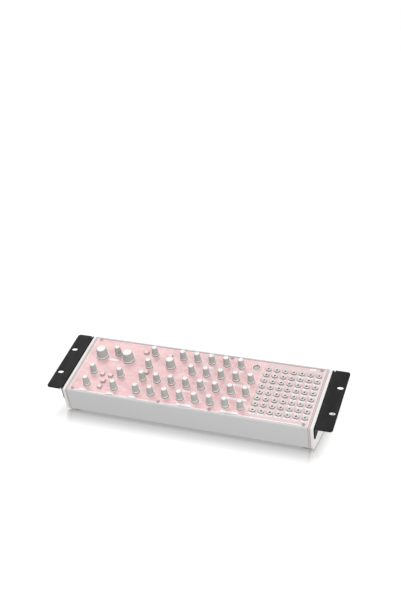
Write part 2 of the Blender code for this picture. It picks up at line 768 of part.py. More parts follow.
def make_rear_board(deck, finish):
    """The board behind the rear wall, with every connector that passes through the wall."""
    back = REAR_INSIDE - REAR_SETBACK
    left = ribbon_x() - RIBBON_WIDTH / 2 - REAR_MARGIN
    right = rear_x(SWITCH_SHARE) + SWITCH_WIDTH / 2 + SWITCH_WALL
    solid = bmesh.new()
    add_prism(solid, rectangle(left, right, back - REAR_BOARD_DEPTH, back),
              REAR_BOARD_UNDERSIDE, REAR_BOARD_TOP)
    board = make("rear_io_board", solid, finish, deck)

    seat = REAR_INSIDE - FIT
    face = REAR_FACE + FIT
    low = REAR_BOARD_TOP - OVERRUN
    blocks, noses, rims, cuts, cores = (bmesh.new() for _ in range(5))

    plug = centred(ribbon_x(), ribbon_rear_y(), RIBBON_WIDTH, RIBBON_PLUG_WIDTH)
    add_prism(blocks, plug, REAR_BOARD_UNDERSIDE - RIBBON_HEADER_HEIGHT, REAR_BOARD_UNDERSIDE + OVERRUN)

    for share in OUTPUT_SHARES:
        x = rear_x(share)
        block = rectangle(x - BIG_JACK_WIDTH / 2, x + BIG_JACK_WIDTH / 2, low, REAR_LINE + BIG_JACK_WIDTH / 2)
        add_prism(blocks, block, seat - BIG_JACK_DEPTH, seat, ALONG_Y)
        nut_top = face + BIG_JACK_NUT_HEIGHT
        add_prism(noses, ring(BIG_JACK_BUSH_RADIUS, BIG_JACK_SIDES, x, REAR_LINE), seat - OVERRUN,
                  face + OVERRUN, ALONG_Y)
        add_prism(rims, ring(BIG_JACK_NUT_RADIUS, NUT_SIDES, x, REAR_LINE), face, nut_top, ALONG_Y)
        add_prism(cuts, bore(BIG_JACK_BORE_RADIUS, BIG_JACK_SIDES, x, REAR_LINE),
                  nut_top - BIG_JACK_BORE_DEPTH, nut_top + OVERRUN, ALONG_Y)

    x = rear_x(THRU_SHARE)
    block = rectangle(x - THRU_WIDTH / 2, x + THRU_WIDTH / 2, low, REAR_LINE + THRU_WIDTH / 2)
    add_prism(blocks, block, seat - THRU_DEPTH, seat, ALONG_Y)
    add_prism(noses, ring(DIN_RADIUS, DIN_SIDES, x, REAR_LINE), seat - OVERRUN, face, ALONG_Y)
    add_prism(cuts, din_recess(x, REAR_LINE), face - DIN_RECESS, face + OVERRUN, ALONG_Y)
    holes = bmesh.new()
    for outline in din_pin_holes(x, REAR_LINE):
        add_prism(holes, outline, face - DIN_RECESS - DIN_PIN_DEPTH, face - DIN_RECESS + OVERRUN, ALONG_Y)

    for share, width, height in BOXED_CONNECTORS:
        x = rear_x(share)
        half = width / 2 - PEDESTAL_INSET
        pedestal = rectangle(x - half, x + half, low, REAR_LINE)
        add_prism(blocks, pedestal, face - BOX_DEPTH + PEDESTAL_INSET, seat - PEDESTAL_INSET, ALONG_Y)
        add_prism(noses, centred(x, REAR_LINE, width, height), face - BOX_DEPTH, face, ALONG_Y)
    x = rear_x(INLET_SHARE)
    add_prism(cuts, bore(INLET_BORE_RADIUS, INLET_SIDES, x, REAR_LINE), face - INLET_CAVITY,
              face + OVERRUN, ALONG_Y)
    add_prism(cores, ring(INLET_PIN_RADIUS, INLET_SIDES, x, REAR_LINE), face - INLET_CAVITY - OVERRUN,
              face - INLET_RECESS, ALONG_Y)
    x = rear_x(USB_SHARE)
    cavity = centred(x, REAR_LINE, USB_WIDTH - 2 * USB_WALL, USB_HEIGHT - 2 * USB_WALL)
    add_prism(cuts, cavity, face - USB_CAVITY, face + OVERRUN, ALONG_Y)
    tongue = centred(x, REAR_LINE, USB_TONGUE_WIDTH, USB_TONGUE_HEIGHT)
    add_prism(cores, tongue, face - USB_CAVITY - OVERRUN, face - INLET_RECESS, ALONG_Y)

    x = rear_x(SWITCH_SHARE)
    add_prism(noses, switch_body(), seat - BOX_DEPTH, face + OVERRUN, ALONG_Y)
    add_prism(rims, switch_body(SWITCH_BEZEL_OVERLAP), face, face + SWITCH_BEZEL, ALONG_Y)
    cavity = centred(x, REAR_LINE, SWITCH_WIDTH - 2 * SWITCH_WALL, 2 * switch_opening())
    add_prism(cuts, cavity, rocker_pivot() - FIT, face + SWITCH_BEZEL + OVERRUN, ALONG_Y)

    for solid in (blocks, noses, rims):
        combine(board, solid, "UNION")
    combine(board, cuts, "DIFFERENCE")
    combine(board, holes, "DIFFERENCE")
    combine(board, cores, "UNION")


def make_rocker(deck, finish):
    """A rocker with round ends about its pivot and two flat halves that meet in a shallow valley."""
    slope = math.tan(ROCKER_TILT)
    spread = 1 + slope * slope
    corner = (math.sqrt(ROCKER_RADIUS ** 2 * spread - ROCKER_FACE ** 2) - ROCKER_FACE * slope) / spread
    front = math.atan2(ROCKER_FACE + corner * slope, corner)
    arc = []
    for i in range(ROCKER_STEPS + 1):
        angle = front + (ROCKER_BACK_ANGLE - front) * i / ROCKER_STEPS
        arc.append(Vector((ROCKER_RADIUS * math.sin(angle), ROCKER_RADIUS * math.cos(angle))))
    mirrored = [Vector((u, -v)) for u, v in reversed(arc)]
    turn = Matrix.Rotation(-ROCKER_TILT, 2)
    outline = [turn @ point for point in [Vector((ROCKER_FACE, 0))] + arc + mirrored]
    half = SWITCH_WIDTH / 2 - SWITCH_WALL - FIT
    solid = bmesh.new()
    add_prism(solid, outline, -half, half, ALONG_X)
    rocker = make("power_rocker", solid, finish, deck)
    rocker.location = (rear_x(SWITCH_SHARE), rocker_pivot(), REAR_LINE)


def make_ribbon(deck, finish):
    """A flat cable that hangs in a U from the main board's header to the rear board's."""
    start_y, end_y = ribbon_main_y(), ribbon_rear_y()
    start_top = MAIN_UNDERSIDE - RIBBON_HEADER_HEIGHT - FIT
    end_top = REAR_BOARD_UNDERSIDE - RIBBON_HEADER_HEIGHT - FIT
    start = Vector((start_y, start_top - RIBBON_PLUG_HEIGHT + OVERRUN))
    end = Vector((end_y, end_top - RIBBON_PLUG_HEIGHT + OVERRUN))
    sag = Vector((0, RIBBON_SAG))
    path = []
    for i in range(RIBBON_STEPS + 1):
        t = i / RIBBON_STEPS
        path.append(tuple(start * (1 - t) ** 3 + (start - sag) * 3 * t * (1 - t) ** 2
                          + (end - sag) * 3 * t ** 2 * (1 - t) + end * t ** 3))
    middle = offset_left(path, -RIBBON_THICKNESS / 2)
    half = RIBBON_WIDTH / 2 - RIBBON_THICKNESS
    x = ribbon_x()
    solid = bmesh.new()
    add_prism(solid, folded(middle, RIBBON_THICKNESS), x - half, x + half, ALONG_X)
    cable = make("ribbon_cable", solid, finish, deck)
    plugs = bmesh.new()
    for y, top in ((start_y, start_top), (end_y, end_top)):
        add_prism(plugs, centred(x, y, RIBBON_WIDTH, RIBBON_PLUG_WIDTH), top - RIBBON_PLUG_HEIGHT, top)
    combine(cable, plugs, "UNION")


# The deck: the panel's frame, tilted and lifted onto the feet

def world_profile():
    """The case's side view, (y, z), once tilted."""
    turn = Matrix.Rotation(PANEL_TILT, 2)
    return [turn @ Vector(point) for point in rounded_corners(case_corners(), CASE_BEND)]


def deck_place():
    """Where the deck stands so that the case is centred in Y and its base clears the floor."""
    profile = world_profile()
    depths = [y for y, _ in profile]
    return Vector((0, -(min(depths) + max(depths)) / 2, FOOT_HEIGHT + FIT - min(z for _, z in profile)))


def base_edges():
    """Front and rear edge of the level base in the world."""
    turn = Matrix.Rotation(PANEL_TILT, 2)
    _, low_front, low_rear, _ = case_corners()
    shift = deck_place().y
    return (turn @ Vector(low_front)).x + shift, (turn @ Vector(low_rear)).x + shift


def main():
    clear_scene()
    deck = bpy.data.objects.new("deck", None)
    bpy.context.collection.objects.link(deck)
    deck.location = deck_place()
    deck.rotation_euler.x = PANEL_TILT

    grey_sheet = material("light grey enamel", (0.52, 0.52, 0.53), 0.45)
    grey_moulding = material("pale grey moulding", (0.66, 0.66, 0.66), 0.5)
    black_steel = material("black powder coat", (0.022, 0.022, 0.023), 0.55)
    pink_panel = material("pale pink panel enamel", (0.90, 0.58, 0.61), 0.45)
    knob_grey = material("grey knob moulding", (0.40, 0.41, 0.40), 0.5)
    button_white = material("off-white button", (0.85, 0.80, 0.79), 0.45)
    plated = material("plated socket metal", (0.62, 0.61, 0.62), 0.3, 0.8)
    board_green = material("board laminate", (0.03, 0.16, 0.09), 0.5)
    black_plastic = material("black switch plastic", (0.03, 0.03, 0.03), 0.4)
    ribbon_grey = material("ribbon cable grey", (0.45, 0.45, 0.46), 0.5)
    rubber = material("black rubber", (0.02, 0.02, 0.02), 0.85)

    make_case_shell(deck, grey_sheet)
    make_cheek("left_cheek", -1, deck, grey_moulding)
    make_cheek("right_cheek", 1, deck, grey_moulding)
    make_ear("left_rack_ear", -1, deck, black_steel)
    make_ear("right_rack_ear", 1, deck, black_steel)
    make_feet(rubber)
    make_panel(deck, pink_panel)
    for name, size, place in knob_places():
        make_knob(name, size, place, deck, knob_grey)
    for number, place in enumerate(button_places(), 1):
        make_button(f"push_button_{number}", place, deck, button_white)
    make_midi_in(deck, plated)
    make_control_board(deck, board_green)
    make_patch_board(deck, plated)
    make_main_board(deck, board_green)
    make_rear_board(deck, black_plastic)
    make_rocker(deck, black_plastic)
    make_ribbon(deck, ribbon_grey)


main()
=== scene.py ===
"""Looks of a eurorack synthesizer module in its wedge-shaped desktop case with two rack ears.

Metres, +Z up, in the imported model's own frame. The sections follow the order of assembly.
"""
import json
import math

import bmesh
import bpy
from mathutils import Matrix, Vector


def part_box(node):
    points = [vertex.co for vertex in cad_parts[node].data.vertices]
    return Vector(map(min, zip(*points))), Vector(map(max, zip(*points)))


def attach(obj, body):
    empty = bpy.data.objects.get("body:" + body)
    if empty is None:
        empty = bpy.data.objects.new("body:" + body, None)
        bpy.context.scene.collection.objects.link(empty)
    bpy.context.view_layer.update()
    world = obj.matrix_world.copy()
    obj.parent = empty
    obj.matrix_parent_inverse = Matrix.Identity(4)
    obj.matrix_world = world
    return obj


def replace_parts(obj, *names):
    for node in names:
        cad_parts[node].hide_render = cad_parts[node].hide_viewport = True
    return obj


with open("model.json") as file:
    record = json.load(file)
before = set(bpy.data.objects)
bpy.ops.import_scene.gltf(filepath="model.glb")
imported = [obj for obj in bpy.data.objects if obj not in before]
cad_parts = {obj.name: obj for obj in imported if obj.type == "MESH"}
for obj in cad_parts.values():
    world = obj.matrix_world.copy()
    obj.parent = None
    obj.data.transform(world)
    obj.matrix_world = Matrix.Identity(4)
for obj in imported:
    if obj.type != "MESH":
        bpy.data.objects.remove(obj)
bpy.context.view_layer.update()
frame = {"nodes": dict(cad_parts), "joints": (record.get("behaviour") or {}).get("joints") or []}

# The deck. What is fixed square to the sloping panel is placed in the deck's own axes: X to the
# right, Y up the slope, Z out of the panel, from the middle of the panel's top face. The packed
# panel's box and the axis of one knob say how it lies.
knob_axis = Vector(next(j["axis"] for j in frame["joints"] if j["name"] == "medium_knob_turn"))
tilt = math.atan2(-knob_axis.y, knob_axis.z)
panel_low, panel_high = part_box("front_panel")
panel_span = panel_high - panel_low
panel_width = panel_span.x
panel_depth = (panel_span.y * math.cos(tilt) - panel_span.z * math.sin(tilt)) / math.cos(2 * tilt)
panel_thickness = (panel_span.z * math.cos(tilt) - panel_span.y * math.sin(tilt)) / math.cos(2 * tilt)
deck_origin = (panel_low + panel_high) / 2 + knob_axis * panel_thickness / 2
deck = Matrix.Translation(deck_origin) @ Matrix.Rotation(tilt, 4, "X")
into_deck = deck.inverted()


def deck_box(node):
    """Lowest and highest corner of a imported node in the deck's own axes."""
    points = [into_deck @ vert.co for vert in frame["nodes"][node].data.vertices]
    low = Vector([min(point[i] for point in points) for i in range(3)])
    high = Vector([max(point[i] for point in points) for i in range(3)])
    return low, high


# Folded case. One steel sheet makes the front wall, the base and the rear wall, with a joggled
# flange under each long edge of the panel. It is sprayed light grey, with a fine orange peel.
SHEET = 0.0012
FIT = 0.0003
OVERRUN = 0.0004
BEND_RADIUS = 0.0022
BEND_STEPS = 8
FLANGE_REACH = 0.0075
SMOOTH_ANGLE = math.radians(32)
CASE_GREY = (0.64, 0.64, 0.645)
ORANGE_PEEL = 0.0016
NOISE_LOW = 0.3
NOISE_HIGH = 0.7
GRAIN_DETAIL = 2.0
PATCH_DETAIL = 4.0


def add_node(tree, kind, inputs, **settings):
    """A node with its settings, whose inputs are fed by sockets or plain values."""
    node = tree.nodes.new("ShaderNode" + kind)
    for name, value in settings.items():
        setattr(node, name, value)
    for name, value in inputs.items():
        if isinstance(value, bpy.types.NodeSocket):
            tree.links.new(value, node.inputs[name])
        else:
            node.inputs[name].default_value = value
    return node


def noise_of(tree, size, detail):
    """A noise whose grain has the given size on the piece."""
    place = add_node(tree, "TexCoord", {}).outputs["Object"]
    noise = add_node(tree, "TexNoise", {"Vector": place, "Scale": 1 / size, "Detail": detail})
    return noise.outputs["Fac"]


def patches(tree, size, low, high):
    """A value that wanders from one number to another in patches."""
    spread = add_node(tree, "MapRange", {"Value": noise_of(tree, size, PATCH_DETAIL), "From Min": NOISE_LOW,
                                         "From Max": NOISE_HIGH, "To Min": low, "To Max": high})
    return spread.outputs["Result"]


def drift(tree, one, two, size):
    """A colour that drifts between two near shades."""
    mix = add_node(tree, "Mix", {"Factor": patches(tree, size, 0, 1), "A": (*one, 1), "B": (*two, 1)},
                   data_type="RGBA")
    return mix.outputs["Result"]


def new_finish(name, colour, roughness, metallic=0.0, specular=0.5, tint=None, grain=None, gloss=None):
    """The material of one finish.

    tint: a second shade and the size of its patches. grain: size, depth and strength of the relief
    of a paint or a mould. gloss: size of the patches and the two roughnesses it wanders between.
    """
    finish = bpy.data.materials.new(name)
    finish.use_nodes = True
    tree = finish.node_tree
    shader = tree.nodes["Principled BSDF"].inputs
    shader["Base Color"].default_value = (*colour, 1)
    shader["Roughness"].default_value = roughness
    shader["Metallic"].default_value = metallic
    shader["Specular IOR Level"].default_value = specular
    if tint:
        tree.links.new(drift(tree, colour, *tint), shader["Base Color"])
    if grain:
        size, depth, strength = grain
        relief = noise_of(tree, size, GRAIN_DETAIL)
        bump = add_node(tree, "Bump", {"Strength": strength, "Distance": depth, "Height": relief})
        tree.links.new(bump.outputs["Normal"], shader["Normal"])
    if gloss:
        tree.links.new(patches(tree, *gloss), shader["Roughness"])
    return finish


def fillet(before, corner, after, radius, steps):
    """The points of an arc that rounds one corner of a path."""
    corner = Vector(corner)
    back = (Vector(before) - corner).normalized()
    ahead = (Vector(after) - corner).normalized()
    half = back.angle(ahead) / 2
    centre = corner + (back + ahead).normalized() * radius / math.sin(half)
    start = corner + back * radius / math.tan(half) - centre
    end = corner + ahead * radius / math.tan(half) - centre
    sweep = math.atan2(start.x * end.y - start.y * end.x, start.dot(end))
    return [tuple(centre + Matrix.Rotation(sweep * i / steps, 2) @ start) for i in range(steps + 1)]


def folded(path, thickness):
    """The section of a sheet whose outer face follows the path and which lies to its left."""
    points = [Vector(p) for p in path]
    sides = []
    for a, b in zip(points, points[1:]):
        run = (b - a).normalized()
        sides.append(Vector((-run.y, run.x)))
    inner = [points[0] + sides[0] * thickness]
    for point, one, two in zip(points[1:-1], sides, sides[1:]):
        inner.append(point + (one + two) * thickness / (1 + one.dot(two)))
    inner.append(points[-1] + sides[-1] * thickness)
    return path + [tuple(p) for p in inner[::-1]]


# Outlines are drawn in a plane and pushed along its normal: (u, v, w) becomes (w, u, v) or (u, w, v)
ALONG_X = Matrix(((0, 0, 1, 0), (1, 0, 0, 0), (0, 1, 0, 0), (0, 0, 0, 1)))
ALONG_Y = Matrix(((1, 0, 0, 0), (0, 0, 1, 0), (0, 1, 0, 0), (0, 0, 0, 1)))
ALONG_Z = Matrix()


def skin(solid, loops, closed=False):
    """Skin a stack of like loops. The stack's ends are filled or, when closed, joined to each other."""
    rows = [[solid.verts.new(point) for point in loop] for loop in loops]
    pairs = list(zip(rows, rows[1:]))
    if closed:
        pairs.append((rows[-1], rows[0]))
    else:
        solid.faces.new(rows[0])
        solid.faces.new(rows[-1])
    for low, high in pairs:
        for i, vert in enumerate(low):
            after = (i + 1) % len(low)
            solid.faces.new((vert, low[after], high[after], high[i]))
    return solid


def prism(solid, outline, low, high, axes=ALONG_Z):
    """Add an outline, pushed from one height to another."""
    return skin(solid, [[axes @ Vector((u, v, w)) for u, v in outline] for w in (low, high)])


def block(outline, low, high, axes=ALONG_Z):
    """A new solid with one pushed outline."""
    return prism(bmesh.new(), outline, low, high, axes)


def carve(solid, tool):
    """Take one solid away from another with a Boolean."""
    items = []
    for shape in (solid, tool):
        bmesh.ops.recalc_face_normals(shape, faces=shape.faces)
        mesh = bpy.data.meshes.new("blank")
        shape.to_mesh(mesh)
        shape.free()
        item = bpy.data.objects.new("blank", mesh)
        bpy.context.scene.collection.objects.link(item)
        items.append(item)
    step = items[0].modifiers.new("cut", "BOOLEAN")
    step.operation = "DIFFERENCE"
    step.solver = "EXACT"
    step.object = items[1]
    bpy.context.view_layer.update()
    cut = items[0].evaluated_get(bpy.context.evaluated_depsgraph_get())
    result = bmesh.new()
    result.from_mesh(cut.to_mesh())
    cut.to_mesh_clear()
    for item in items:
        bpy.data.objects.remove(item)
    return result


def add_piece(name, solid, finishes, place=deck, body="case"):
    """Put a modelled piece in its place, shade it and let it ride on a body."""
    bmesh.ops.recalc_face_normals(solid, faces=solid.faces)
    solid.transform(place)
    mesh = bpy.data.meshes.new(name)
    solid.to_mesh(mesh)
    solid.free()
    mesh.shade_smooth()
    mesh.set_sharp_from_angle(angle=SMOOTH_ANGLE)
    for finish in finishes:
        mesh.materials.append(finish)
    piece = bpy.data.objects.new(name, mesh)
    bpy.context.scene.collection.objects.link(piece)
    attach(piece, body)
    return piece


case_enamel = new_finish("light grey case enamel", CASE_GREY, 0.42, grain=(ORANGE_PEEL, 0.00004, 0.5),
                         gloss=(0.03, 0.38, 0.50))

case_reach = deck_box("case_shell")[1].y
case_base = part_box("case_shell")[0].z


def base_height(y):
    """Height, in the deck's axes, of the case's level base under a place on the panel."""
    return (case_base - deck_origin.z - math.sin(tilt) * y) / math.cos(tilt)


def case_corners(inset=0.0):
    """Side view of the case, (y, z) in the deck's axes, moved inwards by an inset."""
    reach = case_reach - inset
    lift = inset / math.cos(tilt)
    return [(-reach, -inset), (-reach, base_height(-reach) + lift), (reach, base_height(reach) + lift),
            (reach, -inset)]


seat = -panel_thickness - FIT
joggle = panel_depth / 2 + FIT
flange = joggle - FLANGE_REACH
case_turns = [(-joggle, 0), *case_corners(), (joggle, 0)]
case_path = [(-flange, seat), (-joggle, seat), (-joggle, 0)]
for before, corner, after in zip(case_turns, case_turns[1:], case_turns[2:]):
    case_path += fillet(before, corner, after, BEND_RADIUS, BEND_STEPS)
case_path += [(joggle, 0), (joggle, seat), (flange, seat)]

# Rear connectors lie on one line below the panel's rear edge, at these shares of its width
REAR_LINE = -0.0310
SWITCH_SHARE = 0.41
INLET_SHARE = 0.345
USB_SHARE = 0.285
THRU_SHARE = 0.21
OUTPUT_SHARES = (0.13, 0.07)
ROUND = 48
DIN_RADIUS = 0.0076
JACK_BUSH_RADIUS = 0.0048
INLET_WIDTH = 0.0092
INLET_HEIGHT = 0.0110
USB_WIDTH = 0.0120
USB_HEIGHT = 0.0108
SWITCH_WIDTH = 0.0130
ROCKER_RADIUS = 0.0085
SWITCH_WALL = 0.0014
switch_height = 2 * (ROCKER_RADIUS + FIT + SWITCH_WALL)


def circle(radius, x=0.0, y=0.0, sides=ROUND):
    """The outline of a circle about a place."""
    step = math.tau / sides
    return [(x + radius * math.cos(step * i), y + radius * math.sin(step * i)) for i in range(sides)]


def oblong(x, y, width, height):
    """The outline of an oblong about a place."""
    return [(x - width / 2, y - height / 2), (x + width / 2, y - height / 2),
            (x + width / 2, y + height / 2), (x - width / 2, y + height / 2)]


wall_outlines = [oblong(share * panel_width, REAR_LINE, width + 2 * FIT, height + 2 * FIT)
                 for share, width, height in ((SWITCH_SHARE, SWITCH_WIDTH, switch_height),
                                              (INLET_SHARE, INLET_WIDTH, INLET_HEIGHT),
                                              (USB_SHARE, USB_WIDTH, USB_HEIGHT))]
for share in (THRU_SHARE, *OUTPUT_SHARES):
    radius = DIN_RADIUS if share == THRU_SHARE else JACK_BUSH_RADIUS
    wall_outlines.append(circle(radius + FIT, share * panel_width, REAR_LINE))
wall_holes = bmesh.new()
for outline in wall_outlines:
    prism(wall_holes, outline, case_reach - SHEET - OVERRUN, case_reach + OVERRUN, ALONG_Y)

sheet = carve(block(folded(case_path, SHEET), -panel_width / 2, panel_width / 2, ALONG_X), wall_holes)
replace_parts(add_piece("folded_case", sheet, [case_enamel]), "case_shell")

# End cheeks. A moulded plate closes each end of the fold. Its inner strip is warm grey, and a
# groove parts it from the white outer band that the ear lies against.
CHEEK_STRIP = 0.0027
CHEEK_GROOVE = 0.0008
GROOVE_DEPTH = 0.0008
CHEEK_CHAMFER = 0.0009
CHEEK_EDGE = 0.0002
STRIP_GREY = (0.61, 0.55, 0.535)
# The outer band's white is partly its own colour and partly a painted highlight along the cheek's outer
# edge.
BAND_WHITE_AND_HIGHLIGHT = (0.86, 0.84, 0.825)


def rounded(corners, radius, steps=BEND_STEPS):
    """A closed outline with every corner rounded."""
    points = []
    for i, corner in enumerate(corners):
        after = corners[(i + 1) % len(corners)]
        points += fillet(corners[i - 1], corner, after, radius, steps)
    return points


def cheek_solid(side, sections):
    """Loft of the case's side view through sections of (way out from the inner face, inset)."""
    loops = []
    for out, inset in sections:
        outline = rounded(case_corners(inset), BEND_RADIUS - inset)
        loops.append([(side * (cheek_inner + out), y, z) for y, z in outline])
    return skin(bmesh.new(), loops)


cheek_relief = {"grain": (0.0007, 0.00003, 0.5), "gloss": (0.02, 0.45, 0.56)}
strip_finish = new_finish("warm grey cheek moulding", STRIP_GREY, 0.5, **cheek_relief)
band_highlight_finish = new_finish("white cheek band with painted highlight", BAND_WHITE_AND_HIGHLIGHT, 0.5, **cheek_relief)

cheek_inner = panel_width / 2 + FIT
for side, word in ((-1, "left"), (1, "right")):
    low, high = deck_box(word + "_cheek")
    cheek_width = max(abs(low.x), abs(high.x)) - cheek_inner
    neck = CHEEK_STRIP + CHEEK_GROOVE
    strip = cheek_solid(side, [
        (0, CHEEK_EDGE), (CHEEK_EDGE, 0), (CHEEK_STRIP - CHEEK_EDGE, 0), (CHEEK_STRIP, CHEEK_EDGE),
        (CHEEK_STRIP, GROOVE_DEPTH), (neck, GROOVE_DEPTH)])
    band = cheek_solid(side, [
        (neck, GROOVE_DEPTH), (neck, CHEEK_EDGE), (neck + CHEEK_EDGE, 0),
        (cheek_width - CHEEK_CHAMFER, 0), (cheek_width - CHEEK_CHAMFER / 2, CHEEK_CHAMFER / 6),
        (cheek_width - CHEEK_CHAMFER / 6, CHEEK_CHAMFER / 2), (cheek_width, CHEEK_CHAMFER)])
    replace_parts(add_piece(word + "_cheek_strip", strip, [strip_finish]), word + "_cheek")
    # Outer band: white, partly as a painted highlight along its edge.
    add_piece(word + "_cheek_band_painted_highlight", band, [band_highlight_finish])

# Feet. Four moulded rubber discs under the base, each held by a countersunk screw in its dish.
# The screw has a cross recess and is zinc plated.
FOOT_TAPER = 0.0007
FOOT_EDGE = 0.0004
DISH_RADIUS = 0.0032
DISH_DEPTH = 0.0012
FOOT_SCREW_RADIUS = 0.0024
FOOT_SCREW_ARM = 0.0016
RUBBER = (0.26, 0.26, 0.26)
ZINC = (0.55, 0.55, 0.53)


def turn(profile, sides, shape=None, closed=False):
    """Turn (radius, height) pairs about Z. A closed profile makes a ring. A shape bends the radius."""
    loops = []
    for radius, height in profile:
        loop = []
        for i in range(sides):
            angle = math.tau * i / sides
            reach = shape(radius, height, angle) if shape else radius
            loop.append((reach * math.cos(angle), reach * math.sin(angle), height))
        loops.append(loop)
    return skin(bmesh.new(), loops, closed)


def cross(arm, half):
    """The outline of a screw's cross recess, from its arm's length and half its arm's width."""
    return [(arm, -half), (arm, half), (half, half), (half, arm), (-half, arm), (-half, half),
            (-arm, half), (-arm, -half), (-half, -half), (-half, -arm), (half, -arm), (half, -half)]


rubber = new_finish("grey foot rubber", RUBBER, 0.85, specular=0.3, grain=(0.0005, 0.00005, 1.0))
foot_screw_steel = new_finish("zinc foot screw", ZINC, 0.35, 1.0, gloss=(0.002, 0.28, 0.45))
for foot_node in sorted(node for node in frame["nodes"] if node.startswith("foot_")):
    low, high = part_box(foot_node)
    radius = (high.x - low.x) / 2
    height = high.z - low.z
    floor_radius = radius - 2 * FOOT_TAPER
    ground = Matrix.Translation(((low.x + high.x) / 2, (low.y + high.y) / 2, low.z))
    disc = turn([(DISH_RADIUS - FOOT_EDGE, DISH_DEPTH), (DISH_RADIUS, FOOT_EDGE),
                 (DISH_RADIUS + FOOT_EDGE, 0), (floor_radius - FOOT_EDGE, 0), (floor_radius, FOOT_EDGE),
                 (radius - FOOT_TAPER / 2, height / 2), (radius, height - FOOT_EDGE), (radius, height)],
                ROUND)
    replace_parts(add_piece(foot_node + "_rubber", disc, [rubber], ground), foot_node)
    head = turn([(FOOT_SCREW_RADIUS, DISH_DEPTH),
                 (FOOT_SCREW_RADIUS - FOOT_EDGE, DISH_DEPTH - FOOT_EDGE)], ROUND)
    recess = block(cross(FOOT_SCREW_ARM, FOOT_EDGE / 2), 0, DISH_DEPTH - FOOT_EDGE / 2)
    add_piece(foot_node + "_screw", carve(head, recess), [foot_screw_steel], ground)

# Boards and cable. Glass-fibre boards in green solder mask carry the potentiometers and key
# switches, and a grey ribbon cable joins the main board to the rear one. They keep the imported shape.
LAMINATE = (0.012, 0.085, 0.045)
RIBBON_GREY = (0.42, 0.42, 0.43)
RIBBON_CORE = 0.00127
RIBBON_RELIEF = 0.0002
WAVE_RATE = 20


def shaded(colour, share):
    """A darker shade of a colour."""
    return tuple(channel * share for channel in colour)


def dress(node, finish):
    """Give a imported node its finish."""
    mesh = frame["nodes"][node].data
    mesh.materials.clear()
    mesh.materials.append(finish)


laminate = new_finish("green board laminate", LAMINATE, 0.4, tint=(shaded(LAMINATE, 0.7), 0.004),
                      grain=(0.0004, 0.00003, 0.6))
ribbon_finish = new_finish("grey ribbon cable", RIBBON_GREY, 0.5)
tree = ribbon_finish.node_tree
cores = add_node(tree, "TexWave", {"Vector": add_node(tree, "TexCoord", {}).outputs["Object"],
                                   "Scale": math.tau / WAVE_RATE / RIBBON_CORE}, bands_direction="X")
relief = add_node(tree, "Bump", {"Distance": RIBBON_RELIEF, "Height": cores.outputs["Fac"]})
tree.links.new(relief.outputs["Normal"], tree.nodes["Principled BSDF"].inputs["Normal"])

dress("control_board", laminate)
dress("main_board", laminate)
dress("ribbon_cable", ribbon_finish)

# Patch bay. Fifty-six miniature sockets stand on their own board. Each has a threaded bush with an
# open bore, and a knurled ring nut that would pull the panel down on it.
BOARD_DROP = 0.0095
BOARD = 0.0016
PATCH_COLUMNS = 7
PATCH_ROWS = 8
PATCH_CENTRE = 0.1524
PATCH_PITCH_X = 0.01397
PATCH_FRONT_MARGIN = 0.0162
PATCH_REAR_MARGIN = 0.01805
BUSH_RADIUS = 0.0029
BUSH_TOP = 0.0023
NUT_RADIUS = 0.0044
NUT_TOP = 0.0023
NUT_CHAMFER = 0.00035
NUT_NOTCHES = 20
NUT_SIDES = 4 * NUT_NOTCHES
NOTCH_DEPTH = 0.00016
SOCKET_BORE_RADIUS = 0.00175
SOCKET_BORE_DEPTH = 0.0090
LINER_SHARE = 0.8
# The nut's plated grey is tinted pink: a painted reflection of the pink panel.
NUT_METAL_PINK_REFLECTION = (0.66, 0.625, 0.625)
# Darker metal for the nut's knurled side: painted shade on its side wall and foot.
KNURL_SHADE_METAL = (0.36, 0.325, 0.33)
BORE_BLACK = (0.015, 0.013, 0.013)
EASED_WIDTH = 0.0003
EASED_ANGLE = math.radians(40)

patch_front = -panel_depth / 2 + PATCH_FRONT_MARGIN
patch_pitch_y = (panel_depth - PATCH_FRONT_MARGIN - PATCH_REAR_MARGIN) / (PATCH_ROWS - 1)
patch_left = PATCH_CENTRE - (PATCH_COLUMNS - 1) / 2 * PATCH_PITCH_X
socket_places = [(patch_left + column * PATCH_PITCH_X, patch_front + row * patch_pitch_y)
                 for row in range(PATCH_ROWS) for column in range(PATCH_COLUMNS)]
board_top = -panel_thickness - BOARD_DROP


def soften(solid, width=EASED_WIDTH, angle=EASED_ANGLE):
    """Round every edge that turns more than the angle."""
    solid.normal_update()
    edges = [e for e in solid.edges if len(e.link_faces) == 2 and e.calc_face_angle(0) > angle]
    bmesh.ops.bevel(solid, geom=edges, offset=width, segments=2, profile=0.5, affect="EDGES",
                    clamp_overlap=True)
    return solid


def over(x, y):
    """Axes that stand on the deck at a place."""
    return Matrix.Translation((x, y, 0))


def copies_of(one, places):
    """One solid with a copy of another in each of the axes."""
    pattern = bpy.data.meshes.new("pattern")
    one.to_mesh(pattern)
    one.free()
    solid = bmesh.new()
    for place in places:
        copy = pattern.copy()
        copy.transform(place)
        solid.from_mesh(copy)
        bpy.data.meshes.remove(copy)
    return solid


def knurled(radius, height, angle):
    """A nut's rim: fine notches on its widest part only."""
    if radius < NUT_RADIUS:
        return radius
    return radius - NOTCH_DEPTH * (0.5 + 0.5 * math.cos(NUT_NOTCHES * angle))


# Nuts and bushes: plated metal with the panel's pink painted in as a reflection.
nut_reflection_finish = new_finish("plated socket nut with painted pink reflection", NUT_METAL_PINK_REFLECTION, 0.4, 0.35, gloss=(0.0012, 0.34, 0.5),
                        grain=(0.0003, 0.00001, 0.4))
knurl_shade_finish = new_finish("painted shade on the knurling of a socket nut", KNURL_SHADE_METAL, 0.6, 0.3, 0.3,
                          tint=(shaded(KNURL_SHADE_METAL, 0.75), 0.0008))
bore_finish = new_finish("black socket moulding", BORE_BLACK, 0.5, specular=0.3,
                         grain=(0.0004, 0.00002, 1.0))

